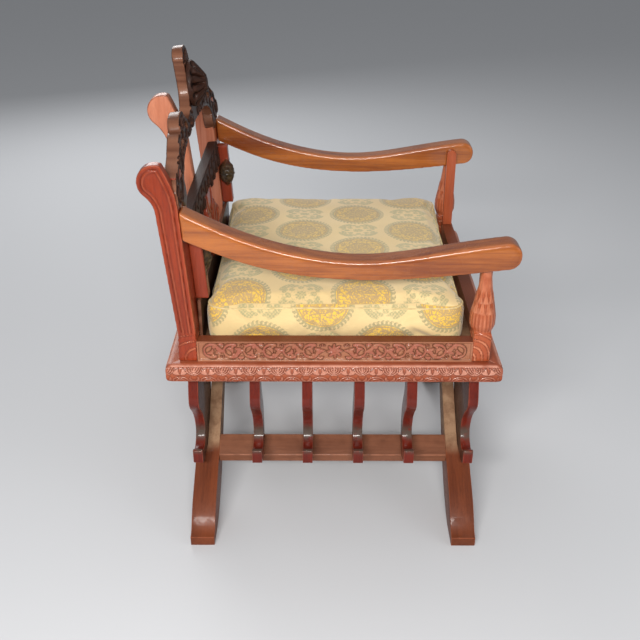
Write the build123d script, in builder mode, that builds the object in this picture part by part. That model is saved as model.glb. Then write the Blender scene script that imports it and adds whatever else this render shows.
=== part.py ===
from build123d import *
import os
from math import atan, cos, sin

os.makedirs("parts", exist_ok=True)

# Savonarola armchair in carved mahogany: two curule X frames, C-scroll ribs, a carved seat frame,
# curled back uprights, a pierced crest and a loose box cushion.
# The sitter faces -Y; left and right are the sitter's own. Depths are measured from the middle of
# the seat frame, towards the back, and seat_y puts that middle where the whole chair is centred.

# Seat frame
seat_width = 626.0
seat_depth = 576.0
frame_z = 372.0
molding_height = 38.0
molding_board = 75.0
side_lip = 17.0
end_lip = 23.0
molding_round = 12.0
frieze_height = 42.0
frieze_thickness = 24.0
panel_thickness = 12.0
bearer_width = 65.0

# X legs, crossed in halves
toe_reach = 355.0
toe_height = 20.0
heel_reach = 290.0
cross_z = 255.0
cross_half = 30.0
leg_gap = 480.0
leg_thickness = 25.0
foot_thickness = 48.0
foot_top = 130.0
leg_head_inner = 180.0
leg_head_outer = 262.0

slope_inner_x = 155.0
slope_outer_x = 220.0
slope_inner_z = 156.0
slope_outer_z = 112.0

# Rails on the lower legs
rail_inner_x = 171.0
rail_outer_x = 210.0
rail_thickness = 14.0

# C-scroll ribs
rib_count = 4
rib_pitch = 103.0
rib_thickness = 20.0
rib_width = 46.0
rib_top_x = 251.0
bulge_x = 267.0
bulge_z = 283.0
waist_x = 208.0
waist_z = 183.0
toe_x = 266.0
toe_z = 171.0
toe_depth = 31.0
panel_reach = 82.0

# Rod and bosses at the crossings
rod_radius = 9.0
boss_radius = 24.0
boss_depth = 12.0

# Corner posts of the back
post_width = 87.0
post_depth = 35.0
base_block = 56.0
neck_rise = 10.0
neck_cover = 19.5
post_neck_depth = 39.0
curl_radius = 31.5
post_curl_width = 22.0
post_curl_overhang = 15.0
curl_rise = 51.0
nose_drop = 21.0
nose_reach = 31.5
post_rise = 52.0

# Middle upright
upright_width = 26.0
upright_neck_drop = 82.0
upright_curl_overhang = 45.0
upright_curl_drop = 32.5

# Front posts
front_post_width = 42.0
front_post_depth = 33.0
front_block = 58.0
belly_low = 481.0
belly_high = 500.0
belly_radius = 23.0
ankle_radius = 18.0
neck_z = 554.0
neck_radius = 13.0
head_radius = 9.0
tenon_length = 14.0

# Arms
arm_width = 45.0
arm_scroll_radius = 25.0
arm_overhang = 40.0
arm_scroll_z = 622.0
arm_rear_top = 705.0
arm_rear_height = 53.0
arm_dip_top = 613.0
arm_dip_low = 577.0
arm_dip_y = 32.0
arm_sweep = 95.0
bracket_width = 13.0
bracket_depth = 21.0
bracket_top = 633.0

# Back boards
lean = 0.1
layer_thickness = 23.0
layer_set_in = 48.0
layer_z = 468.0
back_board_height = 93.0
back_board_set_in = 42.0
stile_width = 24.0
stile_depth = 24.0
stile_inset = 12.0
stile_drop = 55.0
husk_drop = 62.0
husk_radius = 17.0
husk_height = 66.0
mid_rail_drop = 41.0
mid_rail_height = 52.0
lobe_count = 4
splat_lap = 10.0
splat_foot = 62.0
splat_bulge = 98.0
splat_neck = 42.0
finial_rise = 88.0
cap_half = 29.0
shoulder_x = 152.0
shoulder_rise = 124.0
dip_depth = 29.0
eye_length = 42.0
eye_width = 15.0
shell_radius = 44.0
shell_height = 33.0
shell_rise = 17.0
shell_petals = 11
shell_petal_half = 7.0
shell_button = 13.0
shell_rim = 9.0
housing_lip = 4.0
housing_wall = 7.0
inner_eye_drop = 33.0
middle_eye_drop = 50.0
outer_eye_drop = 79.0

# Cushion
cushion_side_gap = 3.0
cushion_front_set_in = 41.0
cushion_rear_set_in = 46.0
cushion_height = 82.0
cushion_round = 16.0
rest_gap = 0.3

# Derived places
half_width = seat_width / 2
half_depth = seat_depth / 2
ledge_z = frame_z + molding_height
frieze_z = ledge_z + frieze_height
panel_z = ledge_z + panel_thickness
leg_inner = leg_gap / 2
leg_outer = leg_inner + leg_thickness
frieze_inner_x = half_width - frieze_thickness
frieze_inner_y = half_depth - frieze_thickness
post_inner_x = half_width - post_width
stile_inner_x = post_inner_x + stile_inset
post_front_y = half_depth - post_depth
front_inner_x = half_width - front_post_width
front_rear_y = half_depth - front_post_depth
front_post_x = half_width - front_post_width / 2
front_post_y = half_depth - front_post_depth / 2
arm_inner_x = front_inner_x
arm_rear_low = arm_rear_top - arm_rear_height
post_neck_z = arm_rear_top + neck_rise
post_curl_z = arm_rear_top + curl_rise
post_top = arm_rear_top + post_rise
stile_top = arm_rear_top - stile_drop
husk_z = stile_top - husk_drop
mid_rail_high = arm_rear_top - mid_rail_drop
mid_rail_low = mid_rail_high - mid_rail_height
shoulder_z = arm_rear_top + shoulder_rise
crest_top = shoulder_z + finial_rise
crest_reach = half_width - housing_wall
shell_z = shoulder_z + shell_rise
upright_neck_z = shoulder_z - upright_neck_drop
upright_curl_z = shoulder_z - upright_curl_drop
post_curl_y = half_depth + post_curl_overhang
upright_curl_y = half_depth + upright_curl_overhang
layer_front = half_depth - layer_set_in
back_board_front = half_depth - back_board_set_in
post_neck_y = layer_front + layer_thickness + lean * (post_neck_z - layer_z) - neck_cover
cushion_front = half_depth - cushion_front_set_in
cushion_rear = half_depth - cushion_rear_set_in
arm_front = half_depth + arm_overhang
curl_reach = upright_curl_y + curl_radius
seat_y = (arm_front - curl_reach) / 2
lean_angle = atan(lean)
post_slope = (post_neck_y - post_front_y) / (post_neck_z - ledge_z - base_block)


def side_plane(x):
    """Upright plane at the distance x, its local x to the back and its local y up."""
    return Plane(origin=(x, seat_y, 0), x_dir=(0, 1, 0), z_dir=(1, 0, 0))


def cross_plane(y):
    """Upright plane across the chair at the depth y, facing the front."""
    return Plane(origin=(0, seat_y + y, 0), x_dir=(1, 0, 0), z_dir=(0, -1, 0))


def level(z):
    """Level plane at the height z, its origin over the middle of the seat frame."""
    return Plane(origin=(0, seat_y, z), x_dir=(1, 0, 0), z_dir=(0, 0, 1))


def post_face(z):
    """Depth of the front face of a corner post at the height z."""
    return post_front_y + post_slope * max(z - ledge_z - base_block, 0)


# The plane of the back boards leans with the uprights; its origin is at their back faces.
back_plane = Plane(
    origin=(0, seat_y + layer_front + layer_thickness, layer_z),
    x_dir=(1, 0, 0),
    z_dir=(0, -cos(lean_angle), sin(lean_angle)),
)


def slope(x):
    """Height of the sloping upper edge of the lower legs at the distance x."""
    share = (x - slope_inner_x) / (slope_outer_x - slope_inner_x)
    return slope_inner_z + share * (slope_outer_z - slope_inner_z)


def up(z):
    """Height z as a distance along the leaning plane of the back boards."""
    return (z - layer_z) / cos(lean_angle)


# Outline of an X leg with its foot at +X and its head under the other side of the seat
with BuildSketch() as leg_outline:
    with BuildLine():
        instep = Spline(
            (toe_reach, toe_height),
            ((toe_reach + heel_reach) / 2, toe_height + 24),
            (slope_outer_x, slope_outer_z),
            tangents=((-1, 0.12), (slope_inner_x - slope_outer_x, slope_inner_z - slope_outer_z)),
        )
        Line(instep @ 1, (slope_inner_x, slope_inner_z))
        Spline(
            (slope_inner_x, slope_inner_z),
            (0, cross_z + cross_half),
            (-leg_head_inner, frame_z),
            tangents=((slope_inner_x - slope_outer_x, slope_inner_z - slope_outer_z), (-1, 0.25)),
        )
        Line((-leg_head_inner, frame_z), (-leg_head_outer, frame_z))
        Spline(
            (-leg_head_outer, frame_z),
            (0, cross_z - cross_half),
            (heel_reach, 0),
            tangents=((0.7, -0.7), (1, -0.25)),
        )
        Polyline((heel_reach, 0), (toe_reach, 0), (toe_reach, toe_height))
    make_face()

crossing_legs = {"left": leg_outline.sketch, "right": mirror(leg_outline.sketch, about=Plane.YZ)}

# The feet of the outer half of each leg end at foot_top, where the end ribs stand on them.
for end, outward in (("front", -1), ("rear", 1)):
    for side, other in (("left", "right"), ("right", "left")):
        lap_start = leg_inner if side == "left" else leg_inner + leg_thickness / 2
        with BuildPart() as leg:
            with BuildSketch(cross_plane(outward * leg_inner)):
                add(crossing_legs[side])
            extrude(amount=-outward * leg_thickness)
            with BuildSketch(cross_plane(outward * leg_inner)):
                add(crossing_legs[side])
                with Locations((0, foot_top)):
                    Rectangle(3 * toe_reach, frame_z, align=(Align.CENTER, Align.MIN), mode=Mode.SUBTRACT)
            extrude(amount=-outward * foot_thickness)
            with BuildSketch(cross_plane(outward * lap_start)):
                add(crossing_legs[other])
            extrude(amount=-outward * leg_thickness / 2, mode=Mode.SUBTRACT)
            with BuildSketch(cross_plane(outward * leg_inner)):
                with Locations((0, cross_z)):
                    Circle(rod_radius)
            extrude(amount=-outward * leg_thickness, mode=Mode.SUBTRACT)
        leg.part.label = f"{end}_leg_{side}"
        export_step(leg.part, f"parts/{leg.part.label}.step")

with BuildPart() as cross_rod:
    with BuildSketch(cross_plane(leg_outer)):
        with Locations((0, cross_z)):
            Circle(rod_radius)
    extrude(amount=2 * leg_outer)
cross_rod.part.label = "cross_rod"
export_step(cross_rod.part, "parts/cross_rod.step")

with BuildPart() as cross_bosses:
    for outward in (1, -1):
        with BuildSketch(cross_plane(outward * leg_outer)):
            with Locations((0, cross_z)):
                Circle(boss_radius)
        extrude(amount=-outward * boss_depth)
    rims = cross_bosses.edges().filter_by(GeomType.CIRCLE).sort_by(Axis.Y)
    chamfer([rims[0], rims[-1]], length=boss_depth / 3)
cross_bosses.part.label = "cross_bosses"
export_step(cross_bosses.part, "parts/cross_bosses.step")

# Base rails lie in the slope of the legs, and the ribs stand on them.
slope_angle = atan((slope_inner_z - slope_outer_z) / (slope_outer_x - slope_inner_x))
rail_drop = rail_thickness / cos(slope_angle)
with BuildPart() as base_rail_left:
    with BuildSketch(cross_plane(leg_inner)):
        with BuildLine():
            Polyline(
                (rail_inner_x, slope(rail_inner_x)),
                (rail_outer_x, slope(rail_outer_x)),
                (rail_outer_x, slope(rail_outer_x) - rail_drop),
                (rail_inner_x, slope(rail_inner_x) - rail_drop),
                close=True,
            )
        make_face()
    extrude(amount=leg_gap)
base_rail_left.part.label = "base_rail_left"
export_step(base_rail_left.part, "parts/base_rail_left.step")

with BuildPart() as base_rail_right:
    mirror(base_rail_left.part, about=Plane.YZ)
base_rail_right.part.label = "base_rail_right"
export_step(base_rail_right.part, "parts/base_rail_right.step")


def scroll_edge():
    """Draw the outer edge of a rib, from the seat frame down to the underside of its toe."""
    Spline(
        (rib_top_x, frame_z),
        (bulge_x, bulge_z),
        (waist_x, waist_z),
        tangents=((-0.1, -1), (-0.1, -1)),
    )
    ThreePointArc(
        (waist_x, waist_z),
        ((waist_x + toe_x) / 2 - 10, toe_z - 11),
        (toe_x - 6, toe_z),
    )
    Polyline((toe_x - 6, toe_z), (toe_x, toe_z - 2), (toe_x, toe_z - toe_depth))


rib_heel = rail_inner_x + 7
with BuildSketch() as rib_outline:
    with BuildLine():
        scroll_edge()
        Polyline(
            (toe_x, toe_z - toe_depth),
            (rail_outer_x, slope(rail_outer_x)),
            (rib_heel, slope(rib_heel)),
        )
        Spline(
            (rib_heel, slope(rib_heel)),
            (waist_x - rib_width + 16, waist_z + 40),
            (bulge_x - rib_width - 12, bulge_z),
            (rib_top_x - rib_width, frame_z),
            tangents=((0, 1), (0, 1)),
        )
        Line((rib_top_x - rib_width, frame_z), (rib_top_x, frame_z))
    make_face()

# End ribs are wide boards that cover the corner between a leg and the seat frame.
with BuildSketch() as end_outline:
    with BuildLine():
        scroll_edge()
        Polyline(
            (toe_x, toe_z - toe_depth),
            (toe_x - 16, foot_top),
            (slope_inner_x - 5, foot_top),
        )
        Spline(
            (slope_inner_x - 5, foot_top),
            (panel_reach, cross_z - 10),
            (leg_head_inner - 30, frame_z),
            tangents=((-0.8, 0.6), (0.5, 1)),
        )
        Line((leg_head_inner - 30, frame_z), (rib_top_x, frame_z))
    make_face()

rib_outlines = {"left": rib_outline.sketch, "right": mirror(rib_outline.sketch, about=Plane.YZ)}
end_outlines = {"left": end_outline.sketch, "right": mirror(end_outline.sketch, about=Plane.YZ)}

for side in ("left", "right"):
    for place in range(rib_count):
        rib_y = (place - (rib_count - 1) / 2) * rib_pitch
        with BuildPart() as rib:
            with BuildSketch(cross_plane(rib_y + rib_thickness / 2)):
                add(rib_outlines[side])
            extrude(amount=rib_thickness)
        rib.part.label = f"rib_{side}_{place + 1}"
        export_step(rib.part, f"parts/{rib.part.label}.step")
    for end, outward in (("front", -1), ("rear", 1)):
        with BuildPart() as end_rib:
            with BuildSketch(cross_plane(outward * leg_outer)):
                add(end_outlines[side])
            extrude(amount=-outward * rib_thickness)
        end_rib.part.label = f"{end}_rib_{side}"
        export_step(end_rib.part, f"parts/{end_rib.part.label}.step")

# Seat frame: a mitred molding of four boards, with a bearer on each side over the ribs
outer_x = half_width + side_lip
outer_y = half_depth + end_lip
inner_x = outer_x - molding_board
inner_y = outer_y - molding_board
with BuildPart() as molding_ring:
    with BuildSketch(level(frame_z)):
        Rectangle(2 * outer_x, 2 * outer_y)
        Rectangle(2 * inner_x, 2 * inner_y, mode=Mode.SUBTRACT)
    extrude(amount=molding_height)
    edge_faces = [
        molding_ring.faces().sort_by(Axis.X)[0],
        molding_ring.faces().sort_by(Axis.X)[-1],
        molding_ring.faces().sort_by(Axis.Y)[0],
        molding_ring.faces().sort_by(Axis.Y)[-1],
    ]
    rims = [edge for face in edge_faces for edge in face.edges().filter_by(Axis.Z, reverse=True)]
    fillet(rims, radius=molding_round)

with BuildPart() as molding_left:
    with BuildSketch(level(frame_z)):
        with BuildLine():
            Polyline(
                (inner_x, -inner_y),
                (outer_x, -outer_y),
                (outer_x, outer_y),
                (inner_x, inner_y),
                close=True,
            )
        make_face()
    extrude(amount=molding_height)
    add(molding_ring.part, mode=Mode.INTERSECT)
molding_left.part.label = "molding_left"
export_step(molding_left.part, "parts/molding_left.step")

with BuildPart() as molding_right:
    mirror(molding_left.part, about=Plane.YZ)
molding_right.part.label = "molding_right"
export_step(molding_right.part, "parts/molding_right.step")

for end, outward in (("front", -1), ("rear", 1)):
    with BuildPart() as molding_end:
        with BuildSketch(level(frame_z)):
            with BuildLine():
                Polyline(
                    (-inner_x, outward * inner_y),
                    (-outer_x, outward * outer_y),
                    (outer_x, outward * outer_y),
                    (inner_x, outward * inner_y),
                    close=True,
                )
            make_face()
        extrude(amount=molding_height)
        add(molding_ring.part, mode=Mode.INTERSECT)
    molding_end.part.label = f"molding_{end}"
    export_step(molding_end.part, f"parts/molding_{end}.step")

with BuildPart() as bearer_left:
    with BuildSketch(level(frame_z)):
        with Locations((inner_x - bearer_width / 2, 0)):
            Rectangle(bearer_width, 2 * inner_y)
    extrude(amount=molding_height)
bearer_left.part.label = "bearer_left"
export_step(bearer_left.part, "parts/bearer_left.step")

with BuildPart() as bearer_right:
    mirror(bearer_left.part, about=Plane.YZ)
bearer_right.part.label = "bearer_right"
export_step(bearer_right.part, "parts/bearer_right.step")

with BuildPart() as seat_panel:
    with BuildSketch(level(ledge_z)):
        Rectangle(2 * frieze_inner_x, 2 * frieze_inner_y)
        for turn in (1, -1):
            with Locations((turn * half_width, half_depth)):
                Rectangle(2 * post_width, 2 * post_depth, mode=Mode.SUBTRACT)
            with Locations((turn * half_width, -half_depth)):
                Rectangle(2 * front_post_width, 2 * front_post_depth, mode=Mode.SUBTRACT)
    extrude(amount=panel_thickness)
seat_panel.part.label = "seat_panel"
export_step(seat_panel.part, "parts/seat_panel.step")

# Frieze rails stand on the molding between the corner posts.
with BuildPart() as frieze_left:
    with BuildSketch(level(ledge_z)):
        with Locations((half_width - frieze_thickness / 2, (post_front_y - front_rear_y) / 2)):
            Rectangle(frieze_thickness, post_front_y + front_rear_y)
    extrude(amount=frieze_height)
frieze_left.part.label = "frieze_left"
export_step(frieze_left.part, "parts/frieze_left.step")

with BuildPart() as frieze_right:
    mirror(frieze_left.part, about=Plane.YZ)
frieze_right.part.label = "frieze_right"
export_step(frieze_right.part, "parts/frieze_right.step")

with BuildPart() as frieze_front:
    with BuildSketch(level(ledge_z)):
        with Locations((0, -half_depth + frieze_thickness / 2)):
            Rectangle(2 * front_inner_x, frieze_thickness)
    extrude(amount=frieze_height)
frieze_front.part.label = "frieze_front"
export_step(frieze_front.part, "parts/frieze_front.step")

with BuildPart() as frieze_rear:
    with BuildSketch(level(ledge_z)):
        with Locations((0, half_depth - frieze_thickness / 2)):
            Rectangle(2 * post_inner_x, frieze_thickness)
    extrude(amount=frieze_height)
frieze_rear.part.label = "frieze_rear"
export_step(frieze_rear.part, "parts/frieze_rear.step")


def curled_upright(front, rear, curl_y, curl_z):
    """Side outline of an upright: front and rear run up to the neck, and a curl rolls back on top."""
    nose = (curl_y - nose_reach, curl_z - nose_drop)
    with BuildSketch() as outline:
        with BuildLine():
            Polyline(*front, nose)
            curl = CenterArc((curl_y, curl_z), curl_radius, 110, -160)
            TangentArc(nose, curl @ 0, tangent=(0.3, 1))
            TangentArc(curl @ 1, rear[-1], tangent=curl % 1)
            Polyline(*rear[::-1], front[0])
        make_face()
    return outline.sketch


with BuildSketch() as leaf_eye:
    with BuildLine():
        ThreePointArc((-eye_length / 2, 0), (0, eye_width / 2), (eye_length / 2, 0))
        ThreePointArc((eye_length / 2, 0), (0, -eye_width / 2), (-eye_length / 2, 0))
    make_face()

# The crest is pierced with leaf-shaped eyes, and its ends are housed in the corner posts.
crest_low = arm_rear_top - 18
with BuildPart() as crest:
    with BuildSketch(back_plane):
        with BuildLine():
            ThreePointArc(
                (0, up(crest_top)),
                (0.72 * cap_half, up(crest_top) - 0.2 * cap_half),
                (cap_half, up(crest_top) - 0.75 * cap_half),
            )
            Line((cap_half, up(crest_top) - 0.75 * cap_half), (cap_half - 4, up(crest_top) - cap_half))
            Spline(
                (cap_half - 4, up(crest_top) - cap_half),
                (cap_half - 3, up(shoulder_z + 4)),
                (0.4 * shoulder_x, up(shoulder_z) - dip_depth),
                (0.8 * shoulder_x, up(shoulder_z) - 9),
                (shoulder_x, up(shoulder_z)),
                tangents=((0, -1), (1, 0)),
            )
            Spline(
                (shoulder_x, up(shoulder_z)),
                (shoulder_x + 33, up(shoulder_z) - 24),
                tangents=((1, -0.1), (0.2, -1)),
            )
            Spline(
                (shoulder_x + 33, up(shoulder_z) - 24),
                (0.75 * crest_reach, up(shoulder_z) - 45),
                (crest_reach, up(arm_rear_top) + 29),
                tangents=((1, 0), (0.5, -1)),
            )
            Polyline(
                (crest_reach, up(arm_rear_top) + 29),
                (crest_reach, up(arm_rear_top) + 1),
                (arm_inner_x - 3, up(arm_rear_top) + 1),
            )
            ThreePointArc(
                (arm_inner_x - 3, up(arm_rear_top) + 1),
                (post_inner_x + 22, up(crest_low) + 2),
                (post_inner_x - housing_lip, up(arm_rear_top) + 22),
            )
            Spline(
                (post_inner_x - housing_lip, up(arm_rear_top) + 22),
                (shoulder_x, up(shoulder_z) - eye_width - 52),
                (0, up(shoulder_z) - dip_depth - 27),
                tangents=((-0.8, 1), (-1, 0)),
            )
            mirror(about=Plane.YZ)
        make_face()
        for turn in (1, -1):
            for eye_x, eye_drop, eye_turn in (
                (0.73 * shoulder_x, inner_eye_drop, 24),
                (shoulder_x + 36, middle_eye_drop, -25),
                (0.83 * crest_reach, outer_eye_drop, -31),
            ):
                with Locations(Location((turn * eye_x, up(shoulder_z) - eye_drop), turn * eye_turn)):
                    add(leaf_eye.sketch, mode=Mode.SUBTRACT)
    extrude(amount=layer_thickness)
crest.part.label = "crest"
export_step(crest.part, "parts/crest.step")

# Petalled shell on the front of the crest
shell_plane = Plane(
    origin=back_plane.from_local_coords((0, up(shell_z), layer_thickness)),
    x_dir=(1, 0, 0),
    z_dir=back_plane.z_dir,
)
petal_end = shell_radius - shell_button / 2 - 1
petal_run = 0.7 * petal_end
with BuildPart() as crest_shell:
    with BuildSketch(shell_plane):
        Circle(shell_button)
        with PolarLocations(shell_button / 2, shell_petals, start_angle=90):
            Polygon(
                (0, 0),
                (petal_run, -shell_petal_half),
                (petal_end, 0),
                (petal_run, shell_petal_half),
                align=None,
            )
    extrude(amount=shell_height)
    with BuildSketch(Plane(origin=shell_plane.origin, x_dir=(1, 0, 0), z_dir=-shell_plane.y_dir)):
        Polygon(
            (0, 0),
            (shell_radius, 0),
            (shell_radius, shell_rim),
            (shell_button, shell_height),
            (0, shell_height),
            align=None,
        )
    revolve(axis=Axis(shell_plane.origin, shell_plane.z_dir), mode=Mode.INTERSECT)
    with BuildSketch(shell_plane):
        Circle(shell_radius)
    extrude(amount=shell_rim)
crest_shell.part.label = "crest_shell"
export_step(crest_shell.part, "parts/crest_shell.step")

# Corner posts: a broad inner part ends flat behind the crest, and the outer part curls back.
block_z = ledge_z + base_block
post_neck_rear = post_neck_y + post_neck_depth
post_front_line = [(post_front_y, ledge_z), (post_front_y, block_z), (post_neck_y, post_neck_z)]
post_rear_line = [(half_depth, ledge_z), (half_depth - 2, block_z), (post_neck_rear, post_neck_z - 17)]
post_outline = curled_upright(post_front_line, post_rear_line, post_curl_y, post_curl_z)

with BuildPart() as back_post_left:
    with BuildSketch(side_plane(half_width - post_curl_width)):
        add(post_outline)
    extrude(amount=post_curl_width)
    with BuildSketch(side_plane(post_inner_x)):
        with BuildLine():
            Polyline(
                *post_front_line,
                (post_neck_y, post_top),
                (post_neck_rear, post_top),
                *post_rear_line[::-1],
                close=True,
            )
        make_face()
    extrude(amount=post_width - post_curl_width)
    add(crest.part, mode=Mode.SUBTRACT)
back_post_left.part.label = "back_post_left"
export_step(back_post_left.part, "parts/back_post_left.step")

with BuildPart() as back_post_right:
    mirror(back_post_left.part, about=Plane.YZ)
back_post_right.part.label = "back_post_right"
export_step(back_post_right.part, "parts/back_post_right.step")


def layer_back(z):
    """Depth of the back faces of the back boards at the height z."""
    return layer_front + layer_thickness + lean * (z - layer_z)


upright_outline = curled_upright(
    [(layer_back(frieze_z), frieze_z), (layer_back(upright_neck_z), upright_neck_z)],
    [(half_depth, frieze_z), (layer_back(upright_neck_z) + post_neck_depth - 2, upright_neck_z - 17)],
    upright_curl_y,
    upright_curl_z,
)
with BuildPart() as centre_upright:
    with BuildSketch(side_plane(-upright_width / 2)):
        add(upright_outline)
    extrude(amount=upright_width)
centre_upright.part.label = "centre_upright"
export_step(centre_upright.part, "parts/centre_upright.step")

# Arms spring from the corner posts and end in a rounded scroll.
scroll_y = -arm_front + arm_scroll_radius
with BuildSketch() as arm_outline:
    with BuildLine():
        Spline(
            (post_face(arm_rear_top), arm_rear_top),
            (post_front_y - arm_sweep, 0.44 * arm_rear_top + 0.56 * arm_dip_top),
            (-arm_dip_y, arm_dip_top),
            (scroll_y, arm_scroll_z + arm_scroll_radius),
            tangents=((-1, -0.52), (-1, 0.12)),
        )
        CenterArc((scroll_y, arm_scroll_z), arm_scroll_radius, 90, 180)
        Spline(
            (scroll_y, arm_scroll_z - arm_scroll_radius),
            (-arm_dip_y - arm_width / 2, arm_dip_low),
            (post_front_y - arm_sweep, 0.42 * arm_rear_low + 0.58 * arm_dip_low),
            (post_face(arm_rear_low), arm_rear_low),
            tangents=((1, -0.12), (1, 0.45)),
        )
        Line((post_face(arm_rear_low), arm_rear_low), (post_face(arm_rear_top), arm_rear_top))
    make_face()

tenon_top = arm_scroll_z - arm_scroll_radius + tenon_length
with BuildPart() as arm_left:
    with BuildSketch(side_plane(arm_inner_x)):
        add(arm_outline.sketch)
    extrude(amount=arm_width)
    with BuildSketch(level(tenon_top)):
        with Locations((front_post_x, -front_post_y)):
            Circle(head_radius)
    extrude(amount=-3 * tenon_length, mode=Mode.SUBTRACT)
arm_left.part.label = "arm_left"
export_step(arm_left.part, "parts/arm_left.step")

with BuildPart() as arm_right:
    mirror(arm_left.part, about=Plane.YZ)
arm_right.part.label = "arm_right"
export_step(arm_right.part, "parts/arm_right.step")

# Front posts: a square block, and over it a turned baluster whose head is the tenon into the arm
post_block_z = ledge_z + front_block
with BuildPart() as front_post_left:
    with BuildSketch(level(ledge_z)):
        with Locations((front_post_x, -front_post_y)):
            Rectangle(front_post_width, front_post_depth)
    extrude(amount=front_block)
    with BuildSketch(side_plane(front_post_x)):
        with BuildLine():
            Polyline(
                (-front_post_y, tenon_top),
                (-front_post_y, post_block_z),
                (ankle_radius - front_post_y, post_block_z),
                (belly_radius - front_post_y, belly_low),
                (belly_radius - front_post_y, belly_high),
                (neck_radius - front_post_y, neck_z),
                (head_radius - front_post_y, tenon_top - tenon_length - 10),
                (head_radius - front_post_y, tenon_top),
                close=True,
            )
        make_face()
    revolve(axis=Axis((front_post_x, seat_y - front_post_y, 0), (0, 0, 1)))
front_post_left.part.label = "front_post_left"
export_step(front_post_left.part, "parts/front_post_left.step")

with BuildPart() as front_post_right:
    mirror(front_post_left.part, about=Plane.YZ)
front_post_right.part.label = "front_post_right"
export_step(front_post_right.part, "parts/front_post_right.step")

# Brackets with rounded tops stand on the front frieze, scribed to the front posts, against the arms.
bracket_y = -half_depth + frieze_thickness / 2
with BuildPart() as arm_bracket_left:
    with BuildSketch(side_plane(arm_inner_x - bracket_width)):
        with Locations((bracket_y, (frieze_z + bracket_top - bracket_depth / 2) / 2)):
            Rectangle(bracket_depth, bracket_top - bracket_depth / 2 - frieze_z)
        with Locations((bracket_y, bracket_top - bracket_depth / 2)):
            Circle(bracket_depth / 2)
    extrude(amount=bracket_width)
    add(front_post_left.part, mode=Mode.SUBTRACT)
arm_bracket_left.part.label = "arm_bracket_left"
export_step(arm_bracket_left.part, "parts/arm_bracket_left.step")

with BuildPart() as arm_bracket_right:
    mirror(arm_bracket_left.part, about=Plane.YZ)
arm_bracket_right.part.label = "arm_bracket_right"
export_step(arm_bracket_right.part, "parts/arm_bracket_right.step")

# Back board behind the cushion, and the stiles that stand on it against the corner posts
back_board_top = panel_z + back_board_height
stile_outer_x = stile_inner_x + stile_width
with BuildPart() as back_board:
    with BuildSketch(level(panel_z)):
        with Locations((0, (back_board_front + post_front_y) / 2)):
            Rectangle(2 * stile_outer_x + 16, post_front_y - back_board_front)
    extrude(amount=back_board_height)
back_board.part.label = "back_board"
export_step(back_board.part, "parts/back_board.step")

with BuildPart() as back_stile_left:
    with BuildSketch(side_plane(stile_inner_x)):
        with BuildLine():
            Polyline(
                (post_face(back_board_top) - stile_depth, back_board_top),
                (post_face(back_board_top), back_board_top),
                (post_face(stile_top), stile_top),
                (post_face(stile_top) - stile_depth, stile_top),
                close=True,
            )
        make_face()
    extrude(amount=stile_width)
    husk_y = post_face(husk_z) - husk_radius - 1
    with BuildSketch(side_plane(stile_inner_x)):
        with Locations((husk_y, husk_z)):
            Polygon(
                (0, -husk_height / 2),
                (0.8 * husk_radius, -husk_height / 4),
                (husk_radius, 0),
                (0.8 * husk_radius, husk_height / 4),
                (0, husk_height / 2),
                align=None,
            )
    revolve(axis=Axis((stile_inner_x, seat_y + husk_y, 0), (0, 0, 1)))
back_stile_left.part.label = "back_stile_left"
export_step(back_stile_left.part, "parts/back_stile_left.step")

with BuildPart() as back_stile_right:
    mirror(back_stile_left.part, about=Plane.YZ)
back_stile_right.part.label = "back_stile_right"
export_step(back_stile_right.part, "parts/back_stile_right.step")

# Middle rail of the back, with a row of carved lobes below
lobe_run = post_inner_x - splat_neck
lobe_pitch = lobe_run / lobe_count
lobe_radius = 0.36 * lobe_pitch
with BuildPart() as mid_rail:
    with BuildSketch(back_plane):
        with Locations((0, up(mid_rail_high))):
            Rectangle(
                2 * post_inner_x,
                mid_rail_height - lobe_radius,
                align=(Align.CENTER, Align.MAX),
            )
        for turn in (1, -1):
            with Locations((turn * (splat_neck + lobe_run / 2), up(mid_rail_low) + lobe_radius)):
                with GridLocations(lobe_pitch, 1, lobe_count, 1):
                    Circle(lobe_radius)
    extrude(amount=layer_thickness)
mid_rail.part.label = "mid_rail"
export_step(mid_rail.part, "parts/mid_rail.step")

# Pierced vase splat under the middle rail, its foot lapped behind the back board
splat_top = mid_rail_low + lobe_radius
with BuildPart() as splat:
    with BuildSketch(back_plane):
        with BuildLine():
            Polyline((0, up(splat_top)), (splat_neck, up(splat_top)))
            Spline(
                (splat_neck, up(splat_top)),
                (splat_neck + 10, up(splat_top) - 0.34 * (splat_top - back_board_top)),
                (splat_bulge, up(back_board_top) + 0.36 * (splat_top - back_board_top)),
                (splat_foot, up(back_board_top)),
                tangents=((0, -1), (-0.3, -1)),
            )
            Polyline(
                (splat_foot, up(back_board_top)),
                (splat_foot, up(back_board_top) - splat_lap),
                (0, up(back_board_top) - splat_lap),
            )
            mirror(about=Plane.YZ)
        make_face()
        with Locations((0, up((splat_top + back_board_top) / 2 + 4))):
            with Locations(Location((0, 0), 90)):
                add(leaf_eye.sketch, mode=Mode.SUBTRACT)
            for turn in (1, -1):
                with Locations(Location((turn * splat_bulge * 0.48, -14), turn * 50)):
                    add(leaf_eye.sketch, mode=Mode.SUBTRACT)
    extrude(amount=layer_thickness)
    add(back_board.part, mode=Mode.SUBTRACT)
splat.part.label = "splat"
export_step(splat.part, "parts/splat.step")

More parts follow.
